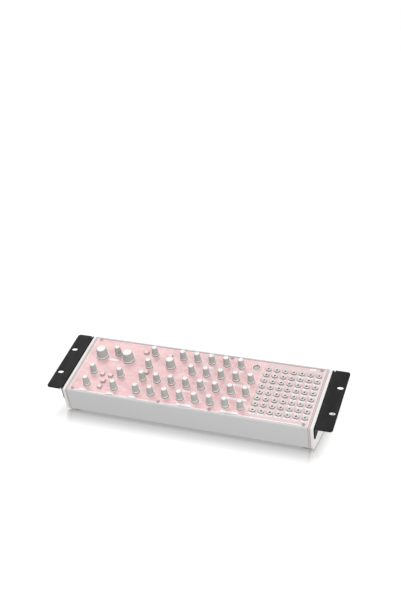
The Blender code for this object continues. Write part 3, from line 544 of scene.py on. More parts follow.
nut = turn([(BUSH_RADIUS, FIT), (NUT_RADIUS, FIT), (NUT_RADIUS, NUT_TOP - NUT_CHAMFER),
            (NUT_RADIUS - NUT_CHAMFER, NUT_TOP), (BUSH_RADIUS + NUT_CHAMFER, NUT_TOP),
            (BUSH_RADIUS, NUT_TOP - NUT_CHAMFER)], NUT_SIDES, knurled, closed=True)
# The knurled side faces take the darker finish: painted shade on the nut's side.
for face in list(nut.faces)[NUT_SIDES:2 * NUT_SIDES]:
    face.material_index = 1
bush_outer = BUSH_RADIUS - FIT / 3
bush = turn([(bush_outer, board_top), (bush_outer, BUSH_TOP - NUT_CHAMFER / 2),
             (BUSH_RADIUS - FIT, BUSH_TOP), (SOCKET_BORE_RADIUS + NUT_CHAMFER, BUSH_TOP),
             (SOCKET_BORE_RADIUS, BUSH_TOP - NUT_CHAMFER), (SOCKET_BORE_RADIUS, board_top)],
            ROUND, closed=True)
bore_floor = NUT_TOP - SOCKET_BORE_DEPTH
liner_outer = SOCKET_BORE_RADIUS - FIT / 3
liner_inner = SOCKET_BORE_RADIUS * LINER_SHARE
liner = turn([(liner_outer, -panel_thickness), (liner_outer, board_top),
              (SOCKET_BORE_RADIUS / 3, board_top), (SOCKET_BORE_RADIUS / 3, bore_floor),
              (liner_inner, bore_floor), (liner_inner, -panel_thickness)], ROUND // 2, closed=True)

socket_axes = [over(x, y) for x, y in socket_places]
nuts, bushes, liners = (copies_of(one, socket_axes) for one in (nut, bush, liner))
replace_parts(add_piece("patch_socket_nuts", nuts, [nut_reflection_finish, knurl_shade_finish]), "patch_board")
add_piece("patch_socket_bushes", bushes, [nut_reflection_finish])
add_piece("patch_socket_liners", liners, [bore_finish])


def add_board(name, low, high, top):
    """A sheet of board laminate between two corners."""
    outline = oblong((low[0] + high[0]) / 2, (low[1] + high[1]) / 2, high[0] - low[0], high[1] - low[1])
    return add_piece(name, soften(block(outline, top - BOARD, top)), [laminate])


add_board("patch_board_laminate", *deck_box("patch_board"), board_top)

# Front panel. A 2 mm aluminium sheet, 80 HP wide, punched for every control and sprayed pale pink.
# The ground under the patch bay is greyer. Its edges are eased, so they catch the light.
PANEL_EDGE = 0.00018
PANEL_PINK = (0.91, 0.65, 0.635)
PANEL_PINK_DEEP = (0.875, 0.51, 0.54)
PATCH_GROUND = (0.83, 0.655, 0.645)
PATCH_GROUND_DEEP = (0.755, 0.585, 0.585)
PATCH_GROUND_LEFT = 0.1035
GROUND_PATCH = 0.007
SPINDLE_RADIUS = 0.0030
BUTTON_WIDTH = 0.0070
BUTTON_CORNER = 0.0010
BUTTON_CORNER_STEPS = 5
PANEL_SCREW_RADIUS = 0.0016
SCREW_EDGE = 0.00762
SCREW_STEP = 0.1524
SCREW_INSET = 0.0030


def plate(outlines, low, high, edge):
    """A sheet from its outline and its holes, with eased edges, as a filled flat curve."""
    curve = bpy.data.curves.new("plate", "CURVE")
    curve.dimensions = "2D"
    curve.fill_mode = "BOTH"
    curve.extrude = (high - low) / 2 - edge
    curve.bevel_depth = edge
    curve.bevel_resolution = 1
    curve.offset = -edge
    for outline in outlines:
        spline = curve.splines.new("POLY")
        spline.points.add(len(outline) - 1)
        for point, (x, y) in zip(spline.points, outline):
            point.co = (x, y, 0, 1)
        spline.use_cyclic_u = True
    item = bpy.data.objects.new("plate", curve)
    bpy.context.scene.collection.objects.link(item)
    bpy.context.view_layer.update()
    shape = item.evaluated_get(bpy.context.evaluated_depsgraph_get())
    solid = bmesh.new()
    solid.from_mesh(shape.to_mesh())
    shape.to_mesh_clear()
    bpy.data.objects.remove(item)
    bpy.data.curves.remove(curve)
    bmesh.ops.remove_doubles(solid, verts=solid.verts, dist=edge / 20)
    bmesh.ops.translate(solid, verts=solid.verts, vec=(0, 0, (low + high) / 2))
    return solid


def centre_of(node):
    """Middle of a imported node, as seen square to the panel."""
    low, high = deck_box(node)
    return (low.x + high.x) / 2, (low.y + high.y) / 2


def button_outline(growth, x=0.0, y=0.0):
    """A square button's rounded outline, grown on every side."""
    width = BUTTON_WIDTH + 2 * growth
    return rounded(oblong(x, y, width, width), BUTTON_CORNER + growth, BUTTON_CORNER_STEPS)


knob_nodes = sorted(node for node in frame["nodes"] if "knob" in node)
button_nodes = sorted(node for node in frame["nodes"] if node.startswith("push_button"))
screw_reach = panel_width / 2 - SCREW_EDGE
screw_row = panel_depth / 2 - SCREW_INSET
screw_columns = (-screw_reach, SCREW_STEP - screw_reach, screw_reach - SCREW_STEP, screw_reach)
screw_places = [(x, y) for x in screw_columns for y in (-screw_row, screw_row)]

panel_outlines = [oblong(0, 0, panel_width, panel_depth)]
panel_outlines += [circle(SPINDLE_RADIUS + FIT, *centre_of(node)) for node in knob_nodes]
panel_outlines += [button_outline(FIT, *centre_of(node)) for node in button_nodes]
panel_outlines += [circle(BUSH_RADIUS + FIT, *place) for place in socket_places]
panel_outlines += [circle(PANEL_SCREW_RADIUS, *place) for place in screw_places]
panel_outlines.append(circle(DIN_RADIUS + FIT, *centre_of("midi_in_socket")))

panel_finish = new_finish("pale pink panel enamel", PANEL_PINK, 0.42, grain=(0.0012, 0.00003, 0.5),
                          gloss=(0.03, 0.38, 0.48))
tree = panel_finish.node_tree
across = add_node(tree, "SeparateXYZ", {"Vector": add_node(tree, "TexCoord", {}).outputs["Object"]})
beyond = add_node(tree, "Math", {0: across.outputs["X"], 1: PATCH_GROUND_LEFT}, operation="GREATER_THAN")
grounds = add_node(tree, "Mix", {"Factor": beyond.outputs["Value"],
                                 "A": drift(tree, PANEL_PINK, PANEL_PINK_DEEP, GROUND_PATCH),
                                 "B": drift(tree, PATCH_GROUND, PATCH_GROUND_DEEP, GROUND_PATCH)},
                   data_type="RGBA")
tree.links.new(grounds.outputs["Result"], tree.nodes["Principled BSDF"].inputs["Base Color"])

panel_sheet = plate(panel_outlines, -panel_thickness, 0, PANEL_EDGE)
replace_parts(add_piece("front_panel_sheet", panel_sheet, [panel_finish]), "front_panel")

# Print on the panel. White ink, screen printed: fine scale marks round each knob, plain bars where
# the real panel carries words, and lines that part its fields. No letters are drawn.
INK = 0.00004
INK_WHITE = (0.99, 0.955, 0.955)
PALE_PINK = (0.87, 0.735, 0.725)
PALE_PINK_DEEP = (0.87, 0.70, 0.70)
# Rose grey ink is painted shadow: a ring round the foot of each knob, and a line along the panel's rear
# edge where the joint with the case's rear lip lies in shade.
SHADOW_ROSE_GREY = (0.52, 0.385, 0.39)
SHADOW_ROSE_GREY_DEEP = (0.46, 0.34, 0.345)
SCALE_MARKS = 11
SCALE_SWEEP = math.radians(300)
FOOT_SHADOW_RING = 0.0008
ARC_GAP = 0.0011
ARC_WIDTH = 0.0007
MARK_GAP = 0.0022
MARK_LENGTH = 0.0013
MARK_WIDTH = 0.00045
LINE_WIDTH = 0.0016
EDGE_BAND = 0.0017
SIDE_BAND = 0.0028
REAR_SHADOW_LINE = 0.0019
INK_INSET = 0.0002
# Middle, length and height of each bar
BAR_PLACES = ((-0.1773, -0.0608, 0.0120, 0.0058), (-0.1288, -0.0608, 0.0125, 0.0058),
              (-0.0898, -0.0608, 0.0112, 0.0058), (0.0, -0.0607, 0.0250, 0.0060),
              (0.0754, -0.0607, 0.0292, 0.0060), (-0.1530, 0.0170, 0.0175, 0.0042),
              (-0.0065, -0.0298, 0.0130, 0.0038), (0.0162, 0.0312, 0.0080, 0.0044),
              (0.0683, 0.0318, 0.0085, 0.0044), (0.0173, 0.0006, 0.0105, 0.0044),
              (0.0708, 0.0010, 0.0150, 0.0040), (0.0896, 0.0012, 0.0045, 0.0040),
              (0.0700, -0.0298, 0.0166, 0.0042), (0.0917, -0.0295, 0.0083, 0.0040),
              (0.1812, 0.0608, 0.0110, 0.0044))
# Place across the panel of each dividing line, and its ends as shares of the panel's depth
DIVIDER_PLACES = ((-0.0760, 0.0, 0.5), (-0.0540, -0.5, 0.0), (-0.0270, 0.0, 0.5), (-0.0025, 0.0, 0.5),
                  (0.0225, -0.5, 0.5), (0.0500, -0.5, 0.5), (0.1015, -0.5, 0.5))
SOCKET_BAR_LENGTH = 0.0098
SOCKET_BAR_HEIGHT = 0.0030
SOCKET_BAR_DROP = 0.0058
STRONG_COLUMN = 4

ink_finish = new_finish("white screen print", INK_WHITE, 0.55, tint=(shaded(INK_WHITE, 0.98), 0.002),
                        grain=(0.0005, 0.00001, 0.4))
faint_finish = new_finish("pale pink screen print", PALE_PINK, 0.5, tint=(PALE_PINK_DEEP, 0.003))
painted_shadow_finish = new_finish("rose grey painted shadow", SHADOW_ROSE_GREY, 0.5, tint=(SHADOW_ROSE_GREY_DEEP, 0.003))
bars, lines, marks, rings, arcs = (bmesh.new() for _ in range(5))


def ink(solid, outline):
    """Print an outline on the panel's face."""
    prism(solid, outline, -INK, INK)


def ink_ring(solid, inner, outer, x=0.0, y=0.0):
    """Print a ring on the panel's face."""
    profile = ((inner, -INK), (outer, -INK), (outer, INK), (inner, INK))
    return skin(solid, [[(u, v, w) for u, v in circle(radius, x, y)] for radius, w in profile], closed=True)


for x, y, length, height in BAR_PLACES:
    ink(bars, oblong(x, y, length, height))
for number, (x, y) in enumerate(socket_places):
    row, column = divmod(number, PATCH_COLUMNS)
    strong = column >= STRONG_COLUMN or row == 0
    ink(bars if strong else marks, oblong(x, y - SOCKET_BAR_DROP, SOCKET_BAR_LENGTH, SOCKET_BAR_HEIGHT))
for x, low, high in DIVIDER_PLACES:
    reach = panel_depth - 2 * (INK_INSET + EDGE_BAND)
    ink(marks, oblong(x, (low + high) / 2 * reach, LINE_WIDTH, (high - low) * reach))
band_x = panel_width / 2 - INK_INSET - SIDE_BAND / 2
band_y = panel_depth / 2 - INK_INSET - EDGE_BAND / 2
ink(lines, oblong(0, -band_y, 2 * band_x - SIDE_BAND, EDGE_BAND))
for side in (-1, 1):
    ink(marks, oblong(side * band_x, 0, SIDE_BAND, 2 * band_y + EDGE_BAND))
# Painted shadow of the joint between the panel's rear edge and the case's rear lip.
ink(rings, oblong(0, panel_depth / 2 - INK_INSET - REAR_SHADOW_LINE / 2, 2 * band_x - SIDE_BAND, REAR_SHADOW_LINE))
for node in knob_nodes:
    low, high = deck_box(node)
    skirt = (high.x - low.x) / 2
    # Painted shadow round the foot of the knob's skirt.
    ink_ring(rings, skirt - FOOT_SHADOW_RING, skirt + FOOT_SHADOW_RING, *centre_of(node))
    ink_ring(arcs, skirt + ARC_GAP, skirt + ARC_GAP + ARC_WIDTH, *centre_of(node))
    for i in range(SCALE_MARKS):
        angle = math.pi / 2 + SCALE_SWEEP * (i / (SCALE_MARKS - 1) - 0.5)
        away = Vector((math.cos(angle), math.sin(angle)))
        aside = Vector((-away.y, away.x)) * MARK_WIDTH / 2
        start = Vector(centre_of(node)) + away * (skirt + MARK_GAP)
        end = start + away * MARK_LENGTH
        ink(arcs, [start - aside, end - aside, end + aside, start + aside])
for name, solid, finish in (("bars", bars, ink_finish), ("lines", lines, ink_finish),
                            ("scales", arcs, ink_finish), ("pale_marks", marks, faint_finish),
                            ("painted_knob_and_rear_shadows", rings, painted_shadow_finish)):
    add_piece("printed_" + name, solid, [finish])

# Panel screws. Eight pan-head machine screws with a cross recess, nickel plated, hold the panel to
# the case's flanges.
PAN_RADIUS = 0.0027
PAN_HEIGHT = 0.0015
PAN_EDGE = 0.0007
CROSS_LENGTH = 0.0030
CROSS_WIDTH = 0.0006
CROSS_DEPTH = 0.0008
SHANK_RADIUS = 0.0015
SHANK_LENGTH = 0.0060
DULL_NICKEL = (0.46, 0.365, 0.365)
EDGE_STEPS = 4


def quarter(radius, height, edge):
    """Profile points round the upper outer edge of a turned piece."""
    points = []
    for i in range(EDGE_STEPS + 1):
        angle = math.pi / 2 * i / EDGE_STEPS
        points.append((radius - edge + edge * math.cos(angle), height - edge + edge * math.sin(angle)))
    return points


def cross_screw(radius, height, edge):
    """A pan-head screw, its head on z = 0, with a cross cut in the top."""
    crown = ((radius - edge) / 2, height + edge / 8)
    screw = turn([(SHANK_RADIUS, -SHANK_LENGTH), (SHANK_RADIUS, 0), (radius, 0),
                  *quarter(radius, height, edge), crown], ROUND // 2)
    recess = block(cross(CROSS_LENGTH / 2, CROSS_WIDTH / 2), height - CROSS_DEPTH, height + edge)
    return carve(screw, recess)


screw_finish = new_finish("dull nickel screw", DULL_NICKEL, 0.5, 0.5, gloss=(0.0015, 0.42, 0.58))
screw_axes = [over(x, y) for x, y in screw_places]
panel_screws = copies_of(cross_screw(PAN_RADIUS, PAN_HEIGHT, PAN_EDGE), screw_axes)
add_piece("panel_screws", panel_screws, [screw_finish])

# Five-pin socket on the panel. A pressed metal shield with the plug's key slot at its top surrounds
# a moulded disc with five pin holes on a half circle.
DIN_PROUD = 0.0006
DIN_RIM = 0.0013
DIN_GAP = 0.0005
DIN_RECESS = 0.0018
DIN_EDGE = 0.00015
DIN_KEY_WIDTH = 0.0022
DIN_KEY_DEPTH = 0.0005
DIN_PIN_CIRCLE = 0.00375
DIN_PIN_RADIUS = 0.00075
DIN_PINS = 5
DIN_DISC = 0.0040
# The shield's plated grey is tinted pink: a painted reflection of the pink panel.
SHIELD_GREY_PINK_REFLECTION = (0.66, 0.61, 0.605)
DISC_GREY = (0.47, 0.52, 0.48)

shield_reflection_finish = new_finish("plated socket shield with painted pink reflection", SHIELD_GREY_PINK_REFLECTION, 0.4, 0.6, gloss=(0.002, 0.32, 0.5))
disc_finish = new_finish("grey socket moulding", DISC_GREY, 0.5, grain=(0.0004, 0.00002, 1.0))


def key_outline():
    """The recess of a five-pin socket: a circle with a key slot at its top."""
    radius = DIN_RADIUS - DIN_RIM
    half = DIN_KEY_WIDTH / 2
    start = math.acos(half / radius)
    sweep = math.pi + 2 * start
    points = [(half, radius + DIN_KEY_DEPTH)]
    for i in range(ROUND):
        angle = start - sweep * i / (ROUND - 1)
        points.append((radius * math.cos(angle), radius * math.sin(angle)))
    points.append((-half, radius + DIN_KEY_DEPTH))
    return points


def add_five_pin(name, face, place, back):
    """Shield, disc and pin holes of a five-pin socket whose shield ends at the face."""
    shield = plate([circle(DIN_RADIUS), key_outline()], back, face, DIN_EDGE)
    ring = add_piece(name + "_shield", shield, [shield_reflection_finish], place)
    outlines = [circle(DIN_RADIUS - DIN_RIM - DIN_GAP)]
    for i in range(DIN_PINS):
        angle = -math.pi * i / (DIN_PINS - 1)
        x, y = DIN_PIN_CIRCLE * math.cos(angle), DIN_PIN_CIRCLE * math.sin(angle)
        outlines.append(circle(DIN_PIN_RADIUS, x, y, ROUND // 2))
    disc_top = face - DIN_RECESS
    disc = plate(outlines, disc_top - DIN_DISC, disc_top, DIN_EDGE)
    add_piece(name + "_disc", disc, [disc_finish], place)
    rear = block(circle(DIN_RADIUS - DIN_RIM / 2), back, disc_top - DIN_DISC - FIT)
    add_piece(name + "_back", rear, [bore_finish], place)
    return ring


midi_place = deck @ over(*centre_of("midi_in_socket"))
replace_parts(add_five_pin("midi_in", DIN_PROUD, midi_place, board_top + FIT), "midi_in_socket")

# Knobs. Each is a grey moulding pressed on a potentiometer's steel spindle, with grip flutes, a
# smooth skirt and a white cap inlaid in its top. A grey line on the cap points to twelve o'clock.
KNOB_LIFT = 0.0008
SKIRT_HEIGHT = 0.0020
KNOB_GREY = (0.485, 0.505, 0.485)
# The skirt's light grey is partly its own colour and partly a painted highlight on its ledge.
SKIRT_GREY_AND_HIGHLIGHT = (0.88, 0.845, 0.835)
CAP_WHITE = (0.91, 0.912, 0.90)
POINTER_GREY = (0.70, 0.71, 0.70)
SPINDLE_STEEL = (0.55, 0.55, 0.55)
KNOB_EDGE = 0.0007
GROOVE = 0.00025
RIM_EDGE = 0.0004
CAP_SINK = 0.0003
CAP_CROWN = 0.00012
FLUTE_STEPS = 6
FLUTE_RISE = 12
FLUTE_FALL = 6
FLUTE_MARGIN = 0.02
GRIP_LEVELS = 7
GRIP_MARGIN = 0.03
POINTER_START = 0.25
POINTER_END = 0.88
# Radius and drop of the rings that crown a cap, as shares of its radius and of its crown
CROWN_RINGS = ((0.7, 0.55), (0.35, 0.3))
# Shoulder, cap and inlay as shares of the skirt's radius, flutes, their depth, and the pointer's width
KNOB_STYLES = {"small": (0.92, 0.742, 0.66, 18, 0.00028, 0.0007),
               "medium": (0.93, 0.765, 0.70, 12, 0.0005, 0.0009),
               "large": (0.933, 0.785, 0.725, 12, 0.0006, 0.0011)}

knob_finish = new_finish("grey knob moulding", KNOB_GREY, 0.48, tint=(shaded(KNOB_GREY, 0.94), 0.004),
                         grain=(0.0005, 0.00003, 0.5), gloss=(0.006, 0.42, 0.56))
skirt_highlight_finish = new_finish("light grey knob skirt with painted highlight", SKIRT_GREY_AND_HIGHLIGHT, 0.4, tint=(shaded(SKIRT_GREY_AND_HIGHLIGHT, 0.95), 0.003),
                          grain=(0.0005, 0.00002, 0.4))
cap_finish = new_finish("white knob cap", CAP_WHITE, 0.45, specular=0.3,
                        tint=(shaded(CAP_WHITE, 0.97), 0.003), gloss=(0.004, 0.4, 0.5))
pointer_finish = new_finish("grey pointer print", POINTER_GREY, 0.5,
                            tint=(shaded(POINTER_GREY, 0.9), 0.001))
spindle_finish = new_finish("steel spindle", SPINDLE_STEEL, 0.3, 1.0, gloss=(0.001, 0.25, 0.4))

for node in knob_nodes:
    shoulder, cap_radius, inlay, flutes, flute_depth, pointer_width = KNOB_STYLES[node.split("_")[0]]
    low, high = deck_box(node)
    skirt = (high.x - low.x) / 2
    shoulder, cap_radius, inlay = skirt * shoulder, skirt * cap_radius, skirt * inlay
    top = high.z
    grip_low = KNOB_LIFT + SKIRT_HEIGHT
    grip_high = top - KNOB_EDGE

    def fluted(radius, height, angle):
        """Flutes run from above the groove and fade out at the top edge."""
        rise = (height - grip_low) / (grip_high - grip_low)
        if not FLUTE_MARGIN < rise < 1 - FLUTE_MARGIN:
            return radius
        wave = (0.5 - 0.5 * math.cos(flutes * angle)) ** 2
        return radius - flute_depth * wave * min(1, rise * FLUTE_RISE, (1 - rise) * FLUTE_FALL)

    place = deck @ over(*centre_of(node))
    hollow = KNOB_LIFT + KNOB_EDGE
    base = [(SPINDLE_RADIUS, -panel_thickness), (SPINDLE_RADIUS, hollow), (skirt - 2 * KNOB_EDGE, hollow),
            (skirt - 1.5 * KNOB_EDGE, KNOB_LIFT), (skirt - GROOVE, KNOB_LIFT), (skirt, KNOB_LIFT + GROOVE),
            (skirt, KNOB_LIFT + 2 * KNOB_EDGE), (skirt - GROOVE / 2, KNOB_LIFT + 2.4 * KNOB_EDGE),
            (shoulder, grip_low - GROOVE)]
    grip = [(shoulder - GROOVE, grip_low), (shoulder - GROOVE, grip_low + GROOVE),
            (shoulder, grip_low + 2 * GROOVE)]
    for i in range(GRIP_LEVELS + 1):
        share = GRIP_MARGIN + (1 - 2 * GRIP_MARGIN) * i / GRIP_LEVELS
        grip.append((shoulder + (cap_radius - shoulder) * share, grip_low + (grip_high - grip_low) * share))
    rim = [(cap_radius, grip_high), (cap_radius - RIM_EDGE / 4, top - KNOB_EDGE / 2),
           (cap_radius - RIM_EDGE, top - CAP_SINK), (inlay, top - CAP_SINK), (inlay, top - 2 * CAP_SINK)]
    sides = flutes * FLUTE_STEPS
    solid = turn(base + grip + rim, sides, fluted)
    walls = list(solid.faces)[2:]
    for face in walls[:sides]:
        face.material_index = 2
    # The skirt takes the lighter finish, partly as a painted highlight.
    for face in walls[sides:len(base) * sides]:
        face.material_index = 1
    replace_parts(add_piece(node + "_moulding", solid, [knob_finish, skirt_highlight_finish, spindle_finish],
                          place, node + "_body"), node)

    disc_radius = inlay - GROOVE / 4
    disc = turn([(disc_radius, top - 2 * CAP_SINK), *quarter(disc_radius, top - CAP_CROWN, CAP_CROWN),
                 *((disc_radius * out, top - CAP_CROWN * drop) for out, drop in CROWN_RINGS)], ROUND)
    add_piece(node + "_cap", disc, [cap_finish], place, node + "_body")
    start, end = disc_radius * POINTER_START, disc_radius * POINTER_END
    line = block(oblong(0, (start + end) / 2, pointer_width, end - start), top - 2 * CAP_SINK, top)
    add_piece(node + "_pointer", line, [pointer_finish], place, node + "_body")

# Push buttons. Off-white square caps with a shallow dish for the fingertip slide through the panel
# on key switches, and a flange under the panel keeps them in.
BUTTON_EDGE = 0.0010
BUTTON_DISH = 0.00025
BUTTON_WHITE = (0.87, 0.76, 0.74)
# The darker rose grey of the cap's sides is painted shade: the sides are the same moulding as the top.
WALL_SHADE_ROSE = (0.62, 0.49, 0.48)
DISH_STEPS = 5
WALL_SLOPE = 0.5

button_finish = new_finish("off-white button moulding", BUTTON_WHITE, 0.4,
                           tint=(shaded(BUTTON_WHITE, 0.96), 0.003), grain=(0.0006, 0.00002, 0.4),
                           gloss=(0.003, 0.34, 0.48))
wall_shade_finish = new_finish("rose grey painted shade on button walls", WALL_SHADE_ROSE, 0.5, tint=(shaded(WALL_SHADE_ROSE, 0.9), 0.003))
for node in button_nodes:
    low, high = deck_box(node)
    lap = (high.x - low.x - BUTTON_WIDTH) / 2
    sections = [(lap, low.z), (lap, seat), (0, seat), (0, high.z - BUTTON_EDGE)]
    sections += [(growth, height) for growth, height in quarter(0, high.z, BUTTON_EDGE)[1:]]
    loops = [[(u, v, height) for u, v in button_outline(growth)] for growth, height in sections]
    rim = loops[-1]
    for i in range(1, DISH_STEPS + 1):
        share = 1 - i / (DISH_STEPS + 1)
        height = high.z - BUTTON_DISH * (1 - share ** 2)
        loops.append([(u * share, v * share, height) for u, v, _ in rim])
    solid = skin(bmesh.new(), loops)
    solid.normal_update()
    # Faces that don't look up take the darker finish: painted shade on the cap's sides.
    for face in solid.faces:
        face.material_index = 1 if abs(face.normal.z) < WALL_SLOPE else 0
    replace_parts(add_piece(node + "_cap", solid, [button_finish, wall_shade_finish],
                          deck @ over(*centre_of(node)), node + "_body"), node)

# Rear board and its connectors: power switch, power inlet, square USB socket, five-pin socket and two
# large jacks, each through its own hole. Their axes point out of the rear wall.
REAR_BOARD_DROP = 0.0092
REAR_BOARD_DEPTH = 0.0270
REAR_SETBACK = 0.0020
JACK_NUT_RADIUS = 0.0078
JACK_NUT_HEIGHT = 0.0022
JACK_NUT_SIDES = 6
JACK_BORE_RADIUS = 0.00325
JACK_BORE_DEPTH = 0.0240
JACK_WIDTH = 0.0150
JACK_DEPTH = 0.0220
BOX_DEPTH = 0.0150
CORNER_RADIUS = 0.0005
CORNER_STEPS = 4
CAVITY_DEPTH = 0.0090
INLET_EDGE = 0.00025
INLET_BORE_RADIUS = 0.0032
INLET_PIN_RADIUS = 0.0010
INLET_PIN_EDGE = 0.0009
INLET_PIN_DEPTH = 0.0012
USB_WALL = 0.0016
USB_EDGE = 0.0002
USB_TONGUE_WIDTH = 0.0056
USB_TONGUE_HEIGHT = 0.0032
USB_TONGUE_DEPTH = 0.0012
USB_BEVEL = 0.0020
CONTACT_WIDTH = 0.0009
CONTACT_DEPTH = 0.0018
NICKEL = (0.62, 0.61, 0.60)
MOULDING_BLACK = (0.022, 0.022, 0.023)
GILT = (0.80, 0.60, 0.28)

jack_nut_finish = new_finish("nickel jack nut", NICKEL, 0.25, 1.0, gloss=(0.003, 0.18, 0.36))
black_moulding = new_finish("black connector moulding", MOULDING_BLACK, 0.45, grain=(0.0005, 0.00003, 1.0),
                            gloss=(0.004, 0.4, 0.55))
contact_finish = new_finish("gilt contact", GILT, 0.25, 1.0, gloss=(0.001, 0.2, 0.35))

outward = Matrix(((-1, 0, 0, 0), (0, 0, 1, 0), (0, 1, 0, 0), (0, 0, 0, 1)))


def rear_place(share):
    """Axes of a rear connector: X to the right as seen from behind, Y up, Z out of the wall."""
    return deck @ Matrix.Translation((share * panel_width, case_reach, REAR_LINE)) @ outward


def smooth_oblong(width, height, radius=CORNER_RADIUS):
    """An oblong about its own middle, with small round corners."""
    return rounded(oblong(0, 0, width, height), radius, CORNER_STEPS)


rear_low, rear_high = deck_box("rear_io_board")
board_back = case_reach - SHEET - REAR_SETBACK
rear_board = add_board("rear_board_laminate", (rear_low.x, board_back - REAR_BOARD_DEPTH),
                       (rear_high.x, board_back), REAR_LINE - REAR_BOARD_DROP)
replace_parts(rear_board, "rear_io_board")

inside = -SHEET - FIT
for number, share in enumerate(OUTPUT_SHARES, 1):
    place = rear_place(share)
    name = f"output_jack_{number}"
    tube_top = FIT + JACK_NUT_HEIGHT
    tube_radius = JACK_BUSH_RADIUS - FIT / 3
    hexagon = block(circle(JACK_NUT_RADIUS, sides=JACK_NUT_SIDES), FIT, tube_top)
    ring = soften(carve(hexagon, block(circle(JACK_BUSH_RADIUS), 0, tube_top + OVERRUN)))
    add_piece(name + "_nut", ring, [jack_nut_finish], place)
    tube = turn([(tube_radius, inside), (tube_radius, tube_top - OVERRUN),
                 (tube_radius - OVERRUN, tube_top), (JACK_BORE_RADIUS + OVERRUN, tube_top),
                 (JACK_BORE_RADIUS, tube_top - OVERRUN), (JACK_BORE_RADIUS, inside)], ROUND, closed=True)
    add_piece(name + "_bush", tube, [jack_nut_finish], place)
    box = block(smooth_oblong(JACK_WIDTH, JACK_WIDTH, 2 * CORNER_RADIUS), inside - JACK_DEPTH, inside)
    bore = block(circle(JACK_BORE_RADIUS), tube_top - JACK_BORE_DEPTH, inside + OVERRUN)
    add_piece(name + "_housing", carve(box, bore), [black_moulding], place)

add_five_pin("midi_thru", FIT, rear_place(THRU_SHARE), inside - BOX_DEPTH / 2)

inlet_place = rear_place(INLET_SHARE)
inlet = carve(block(smooth_oblong(INLET_WIDTH, INLET_HEIGHT), FIT - BOX_DEPTH, FIT),
              block(circle(INLET_BORE_RADIUS), FIT - CAVITY_DEPTH, FIT + OVERRUN))
add_piece("power_inlet_housing", soften(inlet, INLET_EDGE), [black_moulding],
          inlet_place)
inlet_pin = turn([(INLET_PIN_RADIUS, -CAVITY_DEPTH),
                  *quarter(INLET_PIN_RADIUS, -INLET_PIN_DEPTH, INLET_PIN_EDGE)], ROUND // 2)
add_piece("power_inlet_pin", inlet_pin, [jack_nut_finish], inlet_place)

usb_place = rear_place(USB_SHARE)
# The mouth is D-like: its two upper corners are cut
u, v = USB_WIDTH / 2 - USB_WALL, USB_HEIGHT / 2 - USB_WALL
mouth = [(-u, -v), (u, -v), (u, v - USB_BEVEL), (u - USB_BEVEL, v), (USB_BEVEL - u, v), (-u, v - USB_BEVEL)]
usb = carve(block(oblong(0, 0, USB_WIDTH, USB_HEIGHT), FIT - BOX_DEPTH, FIT),
            block(mouth, FIT - CAVITY_DEPTH, FIT + OVERRUN))
add_piece("usb_socket_shell", soften(usb, USB_EDGE), [jack_nut_finish], usb_place)
tongue = block(smooth_oblong(USB_TONGUE_WIDTH, USB_TONGUE_HEIGHT, CORNER_RADIUS / 2), -CAVITY_DEPTH,
               -USB_TONGUE_DEPTH)
add_piece("usb_socket_tongue", soften(tongue, USB_EDGE), [disc_finish], usb_place)
contacts = bmesh.new()
for side in (-1, 1):
    for x in (-USB_TONGUE_WIDTH / 4, USB_TONGUE_WIDTH / 4):
        contact = oblong(x, side * USB_TONGUE_HEIGHT / 2, CONTACT_WIDTH, OVERRUN / 2)
        prism(contacts, contact, -CAVITY_DEPTH, -CONTACT_DEPTH)
add_piece("usb_socket_contacts", contacts, [contact_finish], usb_place)

# Power switch. A black bezel clipped into the rear wall frames a rocker, whose pressed half lies
# flush. The rocker carries the usual line and ring, moulded and inked white.
SWITCH_BEZEL = 0.0012
SWITCH_OVERLAP = 0.0015
BEZEL_CORNER = 0.0010
WELL_EDGE = 0.0001
ROCKER_FACE = 0.0045
ROCKER_TILT = math.radians(10)
ROCKER_BACK_ANGLE = math.radians(12)
ROCKER_STEPS = 12
ROCKER_EASED_ANGLE = math.radians(60)
MARK_RING = 0.0014
MARK_LINE = 0.0003
MARK_SPOT = 0.0048

switch_place = rear_place(SWITCH_SHARE)
opening_width = SWITCH_WIDTH - 2 * SWITCH_WALL
opening = smooth_oblong(opening_width, 2 * (ROCKER_RADIUS + FIT))
bezel = smooth_oblong(SWITCH_WIDTH + 2 * SWITCH_OVERLAP, switch_height + 2 * SWITCH_OVERLAP, BEZEL_CORNER)
well = smooth_oblong(SWITCH_WIDTH, switch_height)
well_back = inside - BOX_DEPTH / 2
for name, solid in (("bezel", plate([bezel, opening], FIT, FIT + SWITCH_BEZEL, EASED_WIDTH)),
                    ("well", plate([well, opening], well_back, FIT, WELL_EDGE)),
                    ("floor", block(well, inside - BOX_DEPTH, well_back))):
    add_piece("power_switch_" + name, solid, [black_moulding], switch_place)

# The rocker's side view: two flat halves that meet at its middle, and a round back
slope = math.tan(ROCKER_TILT)
spread = 1 + slope * slope
corner = (math.sqrt(ROCKER_RADIUS ** 2 * spread - ROCKER_FACE ** 2) - ROCKER_FACE * slope) / spread
front = math.atan2(ROCKER_FACE + corner * slope, corner)
arc = []
for i in range(ROCKER_STEPS + 1):
    angle = front + (ROCKER_BACK_ANGLE - front) * i / ROCKER_STEPS
    arc.append(Vector((ROCKER_RADIUS * math.sin(angle), ROCKER_RADIUS * math.cos(angle))))
mirrored = [Vector((u, -v)) for u, v in reversed(arc)]
rest_turn = Matrix.Rotation(-ROCKER_TILT, 2)
rocker_outline = [rest_turn @ point for point in (Vector((ROCKER_FACE, 0)), *arc, *mirrored)]
rocker_half = opening_width / 2 - FIT
pivot = next(Vector(j["pos_m"]) for j in frame["joints"] if j["name"] == "power_rocker_tilt")
rocker_axes = Matrix.Translation(pivot) @ Matrix.Rotation(tilt, 4, "X")
rocker = soften(block(rocker_outline, -rocker_half, rocker_half, ALONG_X), angle=ROCKER_EASED_ANGLE)
